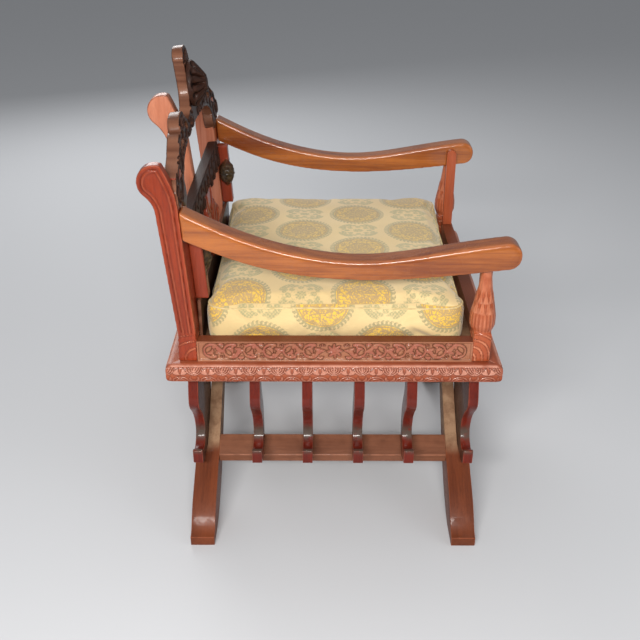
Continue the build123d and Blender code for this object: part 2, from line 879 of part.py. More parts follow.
# Loose box cushion with a crowned top
with BuildPart() as cushion:
    with BuildSketch(level(panel_z + rest_gap)) as cushion_base:
        with Locations((0, (cushion_rear - cushion_front) / 2)):
            RectangleRounded(
                2 * (frieze_inner_x - cushion_side_gap),
                cushion_rear + cushion_front,
                radius=2 * cushion_round,
            )
    extrude(amount=cushion_height)
    with BuildSketch(level(panel_z + rest_gap + cushion_height)):
        with Locations((0, (cushion_rear - cushion_front) / 2)):
            RectangleRounded(
                2 * (frieze_inner_x - cushion_side_gap),
                cushion_rear + cushion_front,
                radius=2 * cushion_round,
            )
    with BuildSketch(level(panel_z + rest_gap + cushion_height + cushion_round)):
        with Locations((0, (cushion_rear - cushion_front) / 2)):
            RectangleRounded(
                2 * (frieze_inner_x - cushion_side_gap) - 8 * cushion_round,
                cushion_rear + cushion_front - 8 * cushion_round,
                radius=2 * cushion_round,
            )
    loft(ruled=True)
cushion.part.label = "cushion"
export_step(cushion.part, "parts/cushion.step")
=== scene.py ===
from math import cos, pi, radians, sin, tau

import bmesh
import bpy
import numpy as np
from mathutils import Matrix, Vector
from mathutils.bvhtree import BVHTree


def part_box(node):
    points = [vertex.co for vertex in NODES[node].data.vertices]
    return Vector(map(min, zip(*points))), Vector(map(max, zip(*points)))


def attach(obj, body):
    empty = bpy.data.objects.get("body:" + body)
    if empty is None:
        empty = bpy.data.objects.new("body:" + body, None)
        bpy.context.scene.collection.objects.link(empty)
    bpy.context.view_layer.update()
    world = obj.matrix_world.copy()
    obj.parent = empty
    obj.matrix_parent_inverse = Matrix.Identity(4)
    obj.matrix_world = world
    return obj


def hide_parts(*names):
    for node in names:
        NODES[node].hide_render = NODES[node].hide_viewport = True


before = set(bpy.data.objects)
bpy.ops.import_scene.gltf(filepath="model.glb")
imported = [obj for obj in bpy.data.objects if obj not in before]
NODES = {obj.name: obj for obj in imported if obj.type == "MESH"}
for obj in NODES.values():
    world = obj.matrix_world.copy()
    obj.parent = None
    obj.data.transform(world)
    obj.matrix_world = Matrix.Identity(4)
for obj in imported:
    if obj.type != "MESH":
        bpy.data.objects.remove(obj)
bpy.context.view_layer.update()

MM = 0.001
FAR = 9.0  # further off than any point of the chair

# The middle and the top of the seat frame, the frieze's outer face, the shell's middle, the cushion's seam
SEAT_Y = (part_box("molding_left")[0].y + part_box("molding_left")[1].y) / 2
LEDGE_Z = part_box("molding_left")[1].z
HALF_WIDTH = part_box("frieze_left")[1].x
SHELL_Z = 848 * MM
SEAM_Z = 506 * MM
SIDES = ("front", "left", "rear", "right")
TURN = {"left": 1, "right": -1}


# ---- finishes

def operation(kind, flipped=False):
    """A method that adds one Math node of that kind."""
    def method(self, *others):
        values = (*others, self.socket) if flipped else (self.socket, *others)
        return self.finish.node("ShaderNodeMath", {"operation": kind}, dict(enumerate(values)))
    return method


class Value:
    """A number that varies over a surface. Plain maths on it adds the Math nodes."""

    def __init__(self, finish, socket):
        self.finish, self.socket = finish, socket

    __add__ = __radd__ = operation("ADD")
    __mul__ = __rmul__ = operation("MULTIPLY")
    __sub__, __rsub__ = operation("SUBTRACT"), operation("SUBTRACT", flipped=True)
    __truediv__ = operation("DIVIDE")
    __pow__ = operation("POWER")
    __abs__ = operation("ABSOLUTE")
    sin, root = operation("SINE"), operation("SQRT")
    round, floor = operation("ROUND"), operation("FLOOR")
    above, most = operation("GREATER_THAN"), operation("MAXIMUM")
    arctan = operation("ARCTAN2")

    def clamp(self):
        settings = {"operation": "ADD", "use_clamp": True}
        return self.finish.node("ShaderNodeMath", settings, {0: self.socket, 1: 0.0})

    def near(self, middle, gone, full):
        """1 within full of the middle, and 0 from gone on."""
        return abs(self - middle).ramp(gone, full)

    def ramp(self, low, high, start=0.0, end=1.0):
        """From start at low to end at high, eased at both."""
        sockets = {0: self.socket, 1: low, 2: high, 3: start, 4: end}
        return self.finish.node("ShaderNodeMapRange", {"interpolation_type": "SMOOTHSTEP"}, sockets)


class Finish:
    """One procedural material, built up from nodes."""

    def __init__(self, name):
        self.material = bpy.data.materials.new(name)
        self.material.use_nodes = True
        self.tree = self.material.node_tree
        self.tree.nodes.clear()
        self.shader = self.tree.nodes.new("ShaderNodeBsdfPrincipled")
        end = self.tree.nodes.new("ShaderNodeOutputMaterial")
        self.tree.links.new(self.shader.outputs[0], end.inputs["Surface"])

    def plug(self, socket, value):
        if isinstance(value, Value):
            value = value.socket
        if isinstance(value, bpy.types.NodeSocket):
            self.tree.links.new(value, socket)
        elif value is not None:
            if socket.type == "RGBA" and len(value) == 3:
                value = (*value, 1.0)
            socket.default_value = value

    def node(self, kind, settings=None, sockets=None, out=0):
        """A node of that kind: its settings first, then the values or links of its sockets."""
        node = self.tree.nodes.new(kind)
        for name, value in (settings or {}).items():
            setattr(node, name, value)
        for name, value in (sockets or {}).items():
            self.plug(node.inputs[name], value)
        return Value(self, node.outputs[out])

    def place(self):
        """Coordinates on the piece, in metres, fixed to it."""
        return self.node("ShaderNodeTexCoord", out=3)

    def split(self, vector):
        node = self.tree.nodes.new("ShaderNodeSeparateXYZ")
        self.plug(node.inputs[0], vector)
        return [Value(self, socket) for socket in node.outputs]

    def join(self, x, y, z):
        return self.node("ShaderNodeCombineXYZ", sockets={0: x, 1: y, 2: z})

    def along(self, vector, direction):
        settings = {"operation": "DOT_PRODUCT"}
        return self.node("ShaderNodeVectorMath", settings, {0: vector, 1: direction}, out=1)

    def noise(self, vector, scale, detail=2.0, roughness=0.5, distortion=0.0):
        sockets = {"Vector": vector, "Scale": scale, "Detail": detail, "Roughness": roughness}
        sockets["Distortion"] = distortion
        return self.node("ShaderNodeTexNoise", sockets=sockets)

    def drawn(self, parts, scales, *look):
        """Noise that is scaled by a number of its own along each part of a place."""
        return self.noise(self.join(*(part * scale for part, scale in zip(parts, scales))), 1.0, *look)

    def mix(self, factor, low, high):
        settings = {"data_type": "RGBA"}
        return self.node("ShaderNodeMix", settings, {0: factor, 6: low, 7: high}, out=2)

    def cells(self, vector, scale):
        """Distance from the borders of small irregular cells."""
        settings = {"feature": "DISTANCE_TO_EDGE"}
        return self.node("ShaderNodeTexVoronoi", settings, {"Vector": vector, "Scale": scale})

    def mark(self, name):
        """A number stored on the points of the mesh."""
        return self.node("ShaderNodeAttribute", {"attribute_name": name}, out=2)

    def normal(self):
        """The three parts of the direction that the surface faces."""
        return self.split(self.node("ShaderNodeNewGeometry", out=1))

    def relief(self, height, distance, strength=1.0):
        sockets = {"Height": height, "Distance": distance, "Strength": strength}
        bump = self.node("ShaderNodeBump", sockets=sockets)
        self.plug(self.shader.inputs["Normal"], bump)

    def set(self, **sockets):
        for name, value in sockets.items():
            self.plug(self.shader.inputs[name.replace("_", " ")], value)


def frame_of(direction):
    """The grain direction and two directions across it."""
    grain = Vector(direction).normalized()
    side = grain.cross(Vector((0, 0, 1)) if abs(grain.z) < 0.9 else Vector((0, 1, 0))).normalized()
    return tuple(grain), tuple(side), tuple(grain.cross(side))


def mahogany(name, light, dark, grain, gloss=0.3, coat=0.35, worn=None, dirt=0.6, extra=None):
    """Stained and waxed mahogany: streaked figure, open pores, rubbed edges, and hollows darkened by real
    dirt and painted shade.
    """
    finish, bare = Finish(name), worn or tuple(min(1.0, 1.7 * part) for part in light)
    place = finish.place()
    parts = [finish.along(place, axis) for axis in frame_of(grain)]
    figure = finish.drawn(parts, (2.2, 26, 26), 5.0, 0.62, 0.9)
    streak = finish.drawn(parts, (9, 240, 240), 3.0, 0.6)
    pore = finish.drawn(parts, (60, 1500, 1500), 2.0, 0.6)
    patch = finish.noise(place, 7.0, 3.0, 0.55)
    tone = (figure * 0.75 + streak * 0.35 + patch * 0.3 - 0.2).ramp(0.25, 0.75)
    colour = finish.mix(tone, dark, light)
    pores = pore.ramp(0.56, 0.70)
    colour = finish.mix(pores * 0.35, colour, tuple(0.35 * part for part in dark))
    hollow = finish.mark("hollow")
    # The marked hollows are darkened: part real dirt, part painted shade in the recesses.
    colour = finish.mix((hollow * dirt).clamp(), colour, tuple(0.22 * part for part in dark))
    edge = finish.mark("edge")
    rubbed = (edge * finish.noise(place, 60.0, 3.0).ramp(0.30, 0.60, 0.25, 1.0)).clamp()
    colour = finish.mix(rubbed * 0.75, colour, bare)
    rough = gloss + patch * 0.14 + pores * 0.12 + hollow * 0.25
    if extra:
        colour, rough = extra(finish, place, colour, rough)
    finish.set(Base_Color=colour, Roughness=rough)
    finish.set(Coat_Weight=coat, Coat_Roughness=0.13, Specular_IOR_Level=0.15)
    finish.relief(streak * 0.25 - pores * 0.6, 0.00025, 0.8)
    return finish.material


# ---- meshes

def solid_of(node):
    """A welded copy of a CAD solid with its flat faces whole."""
    work = bmesh.new()
    work.from_mesh(NODES[node].data)
    bmesh.ops.remove_doubles(work, verts=work.verts, dist=0.02 * MM)
    bmesh.ops.dissolve_limit(work, angle_limit=radians(0.6), verts=work.verts, edges=work.edges)
    return work


def mesh_of(name, work):
    """A mesh with what the work holds."""
    mesh = bpy.data.meshes.new(name)
    work.to_mesh(mesh)
    work.free()
    return mesh


def evaluated(piece):
    """A new mesh with what a piece's modifiers or its bevel make of it."""
    return bpy.data.meshes.new_from_object(piece.evaluated_get(bpy.context.evaluated_depsgraph_get()))


def link(name, mesh):
    """Put a mesh, a lamp or a camera into the scene."""
    piece = bpy.data.objects.new(name, mesh)
    bpy.context.scene.collection.objects.link(piece)
    return piece


def fit(piece, material, slot, *nodes):
    """Give a piece its finish and fix it to the chair, in place of the solids it stands for."""
    piece.data.materials.clear()
    piece.data.materials.append(material)
    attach(piece, "root")
    if nodes:
        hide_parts(*nodes)


def settle(piece):
    """Replace a piece's mesh with what its modifiers make of it."""
    mesh = evaluated(piece)
    piece.modifiers.clear()
    piece.data = mesh
    return piece


def read(items, name):
    """A vector that each point or face of a mesh has, as rows."""
    flat = np.zeros(len(items) * 3)
    items.foreach_get(name, flat)
    return flat.reshape(-1, 3)


def points_of(mesh):
    """Where the points of a mesh lie."""
    return read(mesh.vertices, "co")


def normals_of(mesh):
    """The way the surface faces at each point of a mesh."""
    return read(mesh.vertices, "normal")


def put_points(mesh, points):
    """Move the points of a mesh."""
    mesh.vertices.foreach_set("co", np.ascontiguousarray(points, dtype=float).ravel())
    mesh.update()


def store(mesh, name, values):
    """Keep a number with each point of a mesh, for its finish."""
    layer = mesh.attributes.get(name) or mesh.attributes.new(name, "FLOAT", "POINT")
    layer.data.foreach_set("value", np.asarray(values, dtype=np.float32))


def shade(mesh, angle=40):
    """Shade a mesh smoothly up to that angle between two faces."""
    mesh.shade_smooth()
    mesh.set_sharp_from_angle(angle=radians(angle))


def relax(mesh, rounds):
    """Soften a mesh: each round draws its points halfway to the mean of their neighbours."""
    points = points_of(mesh)
    ends = np.zeros(len(mesh.edges) * 2, dtype=np.int64)
    mesh.edges.foreach_get("vertices", ends)
    ends = ends.reshape(-1, 2)
    count = np.bincount(ends.ravel(), minlength=len(points)).astype(float)
    for _ in range(rounds):
        total = np.zeros_like(points)
        np.add.at(total, ends[:, 0], points[ends[:, 1]])
        np.add.at(total, ends[:, 1], points[ends[:, 0]])
        points += 0.5 * (total / count[:, None] - points)
    put_points(mesh, points)


def remeshed(name, mesh, voxel):
    """A piece made of an even fine mesh that follows the given one."""
    piece = link(name, mesh)
    remesh = piece.modifiers.new("even", "REMESH")
    remesh.mode = "VOXEL"
    remesh.voxel_size = voxel
    return settle(piece)


def eased(node, width):
    """A CAD solid with its edges rounded over, which are marked for the finish."""
    work = solid_of(node)
    layer = work.edges.layers.float.new("bevel_weight_edge")
    for edge in work.edges:
        if len(edge.link_faces) == 2 and edge.calc_face_angle(0) > radians(25):
            edge[layer] = 1.0
    piece = link(node + "_eased", mesh_of(node + "_eased", work))
    bevel = piece.modifiers.new("round", "BEVEL")
    bevel.limit_method = "WEIGHT"
    bevel.width = width
    bevel.segments = 3
    bevel.use_clamp_overlap = True
    bevel.miter_outer = "MITER_ARC"
    settle(piece)
    mesh = piece.data
    spread = np.ones(len(mesh.vertices))
    first = {}
    for polygon, normal in zip(mesh.polygons, read(mesh.polygons, "normal")):
        for vertex in polygon.vertices:
            spread[vertex] = min(spread[vertex], first.setdefault(vertex, normal) @ normal)
    store(mesh, "edge", share(0.93 - spread, 0.04))
    shade(mesh)
    return piece


def dense(node, voxel, rounds=2):
    """A CAD solid as an even fine mesh, with its edges softened, ready to be carved."""
    piece = remeshed(node + "_carved", mesh_of(node + "_carved", solid_of(node)), voxel)
    relax(piece.data, rounds)
    return piece


def carve(node, voxel, rounds, finish, slot, heights):
    """A dense piece whose points move along their normals. heights gives their lift and their marks."""
    piece = dense(node, voxel * MM, rounds)
    mesh = piece.data
    points, normals = points_of(mesh), normals_of(mesh)
    lift, marks = heights(points, normals)
    put_points(mesh, points + normals * lift[:, None])
    for name, values in marks.items():
        store(mesh, name, values)
    shade(mesh, 70)
    fit(piece, finish, slot, node)


# ---- carving strokes

def arc(centre, reach, angle, rise=None):
    """Points at those angles round a centre, at that reach sideways and rise upwards."""
    rise = reach if rise is None else rise
    return np.stack((centre[0] + reach * np.cos(angle), centre[1] + rise * np.sin(angle)), 1)


def grid(u, v):
    """Every pair of the two rows of numbers, as two flat rows."""
    return (part.ravel() for part in np.meshgrid(u, v, indexing="ij"))


def share(value, full=1.0):
    """How far a value has come from 0 to full, from 0 to 1."""
    return np.clip(value / full, 0, 1)


def bell(value, width):
    """1 where a value is 0, falling off smoothly to both sides."""
    return np.exp(-((value / width) ** 2))


def groove(distance, middle, width):
    """A rounded bump of that width about the middle, from 0 at its sides to 1."""
    return share(1 - ((distance - middle) / (width / 2)) ** 2)


class Strokes:
    """Carved strokes on a flat, each a line of points with half widths in mm and a share of the height."""

    def __init__(self):
        self.lines = []

    def line(self, points, widths, height=1.0, vein=0.0):
        """A stroke through the points. vein is how deeply a groove runs down its middle."""
        points = np.asarray(points, dtype=float)
        widths = np.broadcast_to(np.asarray(widths, dtype=float) * MM, len(points))
        self.lines.append((points, widths, height, vein))

    def leaf(self, start, end, bend, width, height=1.0, vein=0.5):
        """A pointed leaf from start to end, bowed sideways by bend of its length."""
        start, end = np.array(start, float), np.array(end, float)
        t = np.linspace(0, 1, 18)
        run = end - start
        across = np.array((-run[1], run[0]))
        points = start + run * t[:, None] + across * bend * np.sin(pi * t)[:, None]
        widths = width * np.maximum(np.sin(pi * (0.08 + 0.9 * t)) ** 0.8, 0.06)
        self.line(points, widths, height, vein)

    def scroll(self, centre, radius, turns, start, width, height):
        """A spiral of that radius in mm that winds inward to an eye, clockwise where turns is negative."""
        t = np.linspace(0, 1, 44)
        points = arc(centre, radius * MM * (1 - 0.82 * t), start + tau * turns * t)
        self.line(points, width * (1 - 0.45 * t), height)
        self.line([centre], 1.15 * width, 1.15 * height)

    def mirror(self):
        """Repeat every stroke on the other side of u = 0."""
        self.lines += [(points * (-1, 1), *rest) for points, *rest in self.lines]

    def relief(self, u, v, high, deep, rim=1.3):
        """The lift of the carving at each (u, v), cut in round every stroke, and how deep that cut is.

        high, deep and rim, the width of the cut, are in mm.
        """
        rim *= MM
        total, gap = np.zeros(len(u)), np.full(len(u), FAR)
        order = np.argsort(u)
        sorted_u = u[order]
        for points, widths, height, vein in self.lines:
            pad = widths.max() + 3 * rim
            a = np.searchsorted(sorted_u, points[:, 0].min() - pad)
            b = np.searchsorted(sorted_u, points[:, 0].max() + pad)
            near = order[a:b]
            near = near[(v[near] > points[:, 1].min() - pad) & (v[near] < points[:, 1].max() + pad)]
            if not len(near):
                continue
            best, foot = np.full(len(near), FAR), np.full(len(near), FAR)
            for (x, y), width in zip(points, widths):
                far = np.hypot(u[near] - x, v[near] - y)
                best = np.minimum(best, far / width)
                foot = np.minimum(foot, far - width)
            dome = np.sqrt(share(1 - best**2))
            vein_cut = vein * bell(best, 0.22)
            total[near] = np.maximum(total[near], height * dome * (1 - vein_cut))
            gap[near] = np.minimum(gap[near], foot)
        cut = bell(np.maximum(gap, 0), rim) * (gap > -0.12 * rim)
        return high * MM * total - deep * MM * cut, cut


def board(name, front, back, nu, nv, hollow, edge):
    """A closed board of nu by nv squares in front, joined round their rim to the points behind it."""
    rows = nv + 1
    i, j = grid(np.arange(nu), np.arange(nv))
    corner = i * rows + j
    faces = np.stack((corner, corner + rows, corner + rows + 1, corner + 1), 1).tolist()
    rim = [k * rows for k in range(nu)] + [nu * rows + k for k in range(nv)]
    rim += [k * rows + nv for k in range(nu, 0, -1)] + list(range(nv, 0, -1))
    behind = {index: len(front) + place for place, index in enumerate(rim)}
    faces += [[b, a, behind[a], behind[b]] for a, b in zip(rim, rim[1:] + rim[:1])]
    faces.append([behind[index] for index in reversed(rim)])
    mesh = bpy.data.meshes.new(name)
    mesh.from_pydata(np.vstack((front, back[rim])).tolist(), [], faces)
    work = bmesh.new()
    work.from_mesh(mesh)
    bmesh.ops.recalc_face_normals(work, faces=work.faces)
    work.to_mesh(mesh)
    work.free()
    plain = np.zeros(len(rim))
    store(mesh, "hollow", np.concatenate((hollow, plain)))
    store(mesh, "edge", np.concatenate((edge, plain)))
    shade(mesh, 60)
    return link(name, mesh)


# ---- camera, light and floor

def light(name, place, aim, size, power, colour=(1, 1, 1)):
    """A soft lamp, round or of two sizes."""
    lamp = bpy.data.lights.new(name, "AREA")
    lamp.energy, lamp.color = power, colour
    if isinstance(size, tuple):
        lamp.shape, lamp.size, lamp.size_y = "RECTANGLE", *size
    else:
        lamp.shape, lamp.size = "DISK", size
    holder = link(name, lamp)
    holder.location = place
    holder.rotation_euler = (Vector(aim) - Vector(place)).to_track_quat("-Z", "Y").to_euler()


def studio():
    """The camera, the lamps, a pale room and its floor."""
    pitch, yaw = radians(28.27), radians(0.227)
    camera = bpy.data.cameras.new("camera")
    camera.lens, camera.sensor_width = 50, 36
    holder = link("camera", camera)
    holder.location = (-1.729, 0.00225, 1.259)
    aim = Vector((cos(pitch) * cos(yaw), cos(pitch) * sin(yaw), -sin(pitch)))
    holder.rotation_euler = aim.to_track_quat("-Z", "Y").to_euler()
    bpy.context.scene.camera = holder

    light("key", (-2.35, 0.30, 1.68), (0, 0, 0.45), (1.5, 0.26), 84, (1.0, 0.98, 0.95))
    light("overhead", (0.5, -0.4, 3.2), (0, 0, 0.4), 2.2, 10)
    light("fill", (-1.4, -2.8, 1.5), (0, 0, 0.4), 1.6, 12)
    light("rear", (2.5, 1.0, 1.9), (0, 0, 0.5), 1.8, 34)

    world = bpy.data.worlds.new("room")
    bpy.context.scene.world = world
    world.use_nodes = True
    nodes, links = world.node_tree.nodes, world.node_tree.links
    nodes.clear()
    choose = nodes.new("ShaderNodeMixShader")
    links.new(nodes.new("ShaderNodeLightPath").outputs["Is Camera Ray"], choose.inputs[0])
    # What lights the chair, then what the camera sees behind it
    for place, colour, strength in ((1, (0.95, 0.97, 1.0, 1), 0.30), (2, (0.80, 0.81, 0.82, 1), 1.0)):
        glow = nodes.new("ShaderNodeBackground")
        glow.inputs["Color"].default_value = colour
        glow.inputs["Strength"].default_value = strength
        links.new(glow.outputs[0], choose.inputs[place])
    links.new(choose.outputs[0], nodes.new("ShaderNodeOutputWorld").inputs[0])
    bpy.context.scene.view_settings.view_transform = "Standard"

    mesh = bpy.data.meshes.new("floor")
    reach = 14.0
    corners = [(-reach, -reach, 0), (reach, -reach, 0), (reach, reach, 0), (-reach, reach, 0)]
    mesh.from_pydata(corners, [], [(0, 1, 2, 3)])
    floor = link("floor", mesh)
    finish = Finish("pale floor")
    finish.set(Base_Color=(0.56, 0.57, 0.59), Roughness=0.85)
    mesh.materials.append(finish.material)


studio()


# ---- finishes of this chair

DEEP_RED, BLACK_RED = (0.29, 0.040, 0.011), (0.150, 0.017, 0.006)
SALMON, SALMON_DARK = (0.55, 0.215, 0.125), (0.42, 0.135, 0.070)
HONEY, HONEY_DARK = (0.39, 0.118, 0.022), (0.150, 0.031, 0.007)
TAN, TAN_DARK = (0.34, 0.205, 0.120), (0.20, 0.105, 0.058)
WALNUT, WALNUT_DARK, WALNUT_WORN = (0.045, 0.016, 0.009), (0.016, 0.006, 0.004), (0.12, 0.045, 0.024)
RUSSET, RUSSET_DARK = (0.185, 0.078, 0.044), (0.095, 0.034, 0.018)


def paler_inside(finish, place, colour, rough):
    """The inner faces of the uprights are paler and less red."""
    x, y, z = finish.split(place)
    inner = abs(x).ramp(0.262, 0.238)
    grain = finish.drawn((x, y, z), (150, 150, 6), 3.0, 0.6).ramp(0.3, 0.7)
    pale = finish.mix(grain, SALMON_DARK, SALMON)
    return finish.mix(inner * 0.75, colour, pale), rough + inner * 0.1


def plain_sides(finish, place, colour, rough):
    """Carved boards are nearly black on their faces, and their sawn sides are plain polished russet."""
    x, y, z = finish.split(place)
    across = abs(finish.normal()[1]).ramp(0.75, 0.40)
    figure = finish.noise(finish.join(x * 20, 0.0, z * 60), 1.0, 3.0)
    side = finish.mix(figure.ramp(0.35, 0.65), RUSSET_DARK, RUSSET)
    return finish.mix(across, colour, side), rough - across * 0.06


def husk_in_painted_shade(finish, place, colour, rough):
    """The carved husk on each stile, under the arm, is painted dark olive brown as shade."""
    # Painted shade: the husk gets a mottled dark olive brown.
    husk = finish.mark("husk")
    mottle = finish.noise(place, 120.0, 3.0).ramp(0.35, 0.65)
    return finish.mix(husk, colour, finish.mix(mottle, (0.020, 0.012, 0.006), (0.065, 0.040, 0.018))), rough


def worn_leg(finish, place, colour, rough):
    """Above the feet the legs are plain, dusty wood; the feet are stained and polished."""
    x, y, z = finish.split(place)
    bare = (z + finish.noise(place, 22.0, 3.0) * 0.016).ramp(0.126, 0.150)
    mottle = finish.noise(place, 30.0, 4.0, 0.65).ramp(0.35, 0.65)
    dusty = finish.mix(mottle, TAN_DARK, TAN)
    return finish.mix(bare, colour, dusty), rough + bare * 0.28


def rubbed_rib(finish, place, colour, rough):
    """The hollow of each toe is rubbed dark and dull, and the toe itself stays red. The top of each rib,
    just under the seat frame, is painted darker towards black red as shade.
    """
    x, y, z = finish.split(place)
    low = z.ramp(0.206, 0.180) * z.ramp(0.158, 0.172)
    dull = low * finish.noise(place, 70.0, 4.0, 0.7).ramp(0.30, 0.50)
    # Painted shade: the top of each rib, under the seat frame, is darkened towards black red.
    painted_shade_under_seat = z.ramp(0.31, 0.37) * 0.35
    colour = finish.mix((dull * 0.85).clamp(), colour, (0.060, 0.050, 0.038))
    return finish.mix(painted_shade_under_seat, colour, BLACK_RED), rough + dull * 0.15


def scratched_faces_in_painted_shade(finish, place, colour, rough):
    """The broad faces of the end ribs are painted nearly black as shade, with real scratches showing paler.
    """
    x, y, z = finish.split(place)
    flat = abs(finish.normal()[1]).ramp(0.80, 0.95)
    scratch = finish.drawn((x, y, z), (420, 90, 22), 4.0, 0.7).ramp(0.56, 0.66)
    # Painted shade with real scratches: the broad faces go nearly black, and the scratches stay paler.
    dark = finish.mix(scratch * 0.65, (0.050, 0.020, 0.012), (0.20, 0.125, 0.075))
    colour, rough = rubbed_rib(finish, place, colour, rough)
    return finish.mix(flat * 0.8, colour, dark), rough + flat * 0.2


def painted_shade_on_top(finish, place, colour, rough):
    """Painted shade: the plain upper edge of the frieze, under the cushion, is painted darker and redder
    than its carved face.
    """
    top = finish.normal()[2].ramp(0.85, 0.97)
    return finish.mix(top, colour, (0.155, 0.038, 0.014)), rough


def lit_above_shaded_below(finish, place, colour, rough):
    """Painted light on the molding's edge: the upper half, facing up, gets a pale pink painted highlight,
    most on the raised carving, and the lower half, facing down, is painted dark red as shade.
    """
    z = finish.split(place)[2] + (finish.noise(place, 45.0, 3.0) - 0.5) * 0.008
    middle = LEDGE_Z - 0.023
    lit = z.ramp(middle, middle + 0.006) * z.ramp(LEDGE_Z + 0.003, LEDGE_Z - 0.004)
    # Painted highlight on the upper half, strongest on the raised carving and kept out of the hollows.
    pale = lit * (finish.mark("edge") * 0.40 + 0.12) * (1.0 - finish.mark("hollow"))
    colour = finish.mix(pale, colour, (0.56, 0.27, 0.20))
    # Painted shade: the lower half goes dark red.
    return finish.mix(z.ramp(middle, middle - 0.006) * 0.45, colour, (0.20, 0.030, 0.008)), rough


UP, ALONG, ACROSS = (0, 0, 1), (0, 1, 0), (1, 0, 0)


def per_side(name, *look, **more):
    """A finish with its grain across the chair at the front and rear, and along it at the sides."""
    across = mahogany(f"{name}, across", *look[:2], ACROSS, *look[2:], **more)
    along = mahogany(f"{name}, along", *look[:2], ALONG, *look[2:], **more)
    return {"front": across, "rear": across, "left": along, "right": along}


# Each with its light and dark colour, its grain, the roughness of its polish and the weight of its wax
POST = mahogany(
    "post mahogany", DEEP_RED, BLACK_RED, UP, 0.26, 0.35,
    worn=(0.50, 0.155, 0.075), dirt=0.55, extra=paler_inside,
)
BALUSTER = mahogany(
    "baluster mahogany", (0.40, 0.095, 0.036), (0.25, 0.046, 0.016), UP, 0.28, 0.35,
    worn=(0.62, 0.25, 0.14), dirt=0.6,
)
UPRIGHT = mahogany("upright mahogany", SALMON, SALMON_DARK, UP, 0.30, 0.3, worn=(0.16, 0.05, 0.03))
ARM = mahogany("arm mahogany", HONEY, HONEY_DARK, ALONG, 0.22, 0.8, worn=(0.42, 0.12, 0.035))
LEG = {
    side: mahogany(
        f"leg mahogany, {side}", (0.175, 0.044, 0.016), (0.090, 0.022, 0.009), (turn * 0.856, 0, -0.516),
        0.42, 0.12, extra=worn_leg,
    )
    for side, turn in TURN.items()
}
RIB_LOOK = {"light": (0.155, 0.014, 0.005), "dark": (0.070, 0.007, 0.004), "worn": (0.30, 0.06, 0.03)}
RIB = mahogany("rib mahogany", grain=UP, gloss=0.26, coat=0.35, extra=rubbed_rib, **RIB_LOOK)
END_RIB = mahogany("end rib mahogany", grain=UP, gloss=0.27, coat=0.3, extra=scratched_faces_in_painted_shade, **RIB_LOOK)
RAIL = mahogany("rail mahogany", (0.20, 0.078, 0.042), (0.11, 0.038, 0.020), ALONG, 0.42, 0.1)
BOARD = mahogany("plain board", (0.25, 0.14, 0.075), (0.14, 0.07, 0.036), ALONG, 0.6, 0.0)
ROD = mahogany("rod mahogany", (0.20, 0.060, 0.030), (0.09, 0.026, 0.014), ALONG, 0.35, 0.2)
FRIEZE = per_side(
    "frieze mahogany", (0.37, 0.155, 0.085), (0.27, 0.100, 0.052), 0.36, 0.2,
    worn=(0.30, 0.085, 0.058), dirt=1.0, extra=painted_shade_on_top,
)
MOLD = per_side(
    "molding mahogany", (0.33, 0.078, 0.030), (0.20, 0.038, 0.014), 0.34, 0.25,
    worn=(0.56, 0.26, 0.18), dirt=1.0, extra=lit_above_shaded_below,
)
CARVED = mahogany(
    "dark carved mahogany", WALNUT, WALNUT_DARK, ACROSS, 0.32, 0.15,
    worn=WALNUT_WORN, dirt=0.8, extra=plain_sides,
)
DARK = mahogany("dark mahogany", WALNUT, WALNUT_DARK, ACROSS, 0.48, 0.04, worn=WALNUT_WORN, dirt=0.8)
SPLAT = mahogany("splat mahogany", DEEP_RED, BLACK_RED, UP, 0.3, 0.3, worn=(0.42, 0.11, 0.05), dirt=0.8)
STILE = mahogany(
    "stile mahogany", (0.29, 0.048, 0.020), BLACK_RED, UP, 0.3, 0.3,
    worn=(0.30, 0.12, 0.06), dirt=0.8, extra=husk_in_painted_shade,
)


# ---- legs, rails and ribs

def round_over(node, width, finish, slot):
    """A piece with its edges rounded over by that width in mm."""
    fit(eased(node, width * MM), finish, slot, node)


for side in TURN:
    for end in ("front", "rear"):
        round_over(f"{end}_leg_{side}", 4.0, LEG[side], "leg_mahogany")
        round_over(f"{end}_rib_{side}", 5.5, END_RIB, "rib_mahogany")
    for place in (1, 2, 3, 4):
        round_over(f"rib_{side}_{place}", 6.5, RIB, "rib_mahogany")
    round_over(f"base_rail_{side}", 2.2, RAIL, "plain_board")
    round_over(f"bearer_{side}", 1.5, BOARD, "plain_board")
round_over("seat_panel", 1.0, BOARD, "plain_board")
round_over("cross_rod", 0.4, ROD, "leg_mahogany")
round_over("cross_bosses", 1.0, ROD, "leg_mahogany")


# ---- seat frame

FRIEZE_PITCH = 1.1 * MM


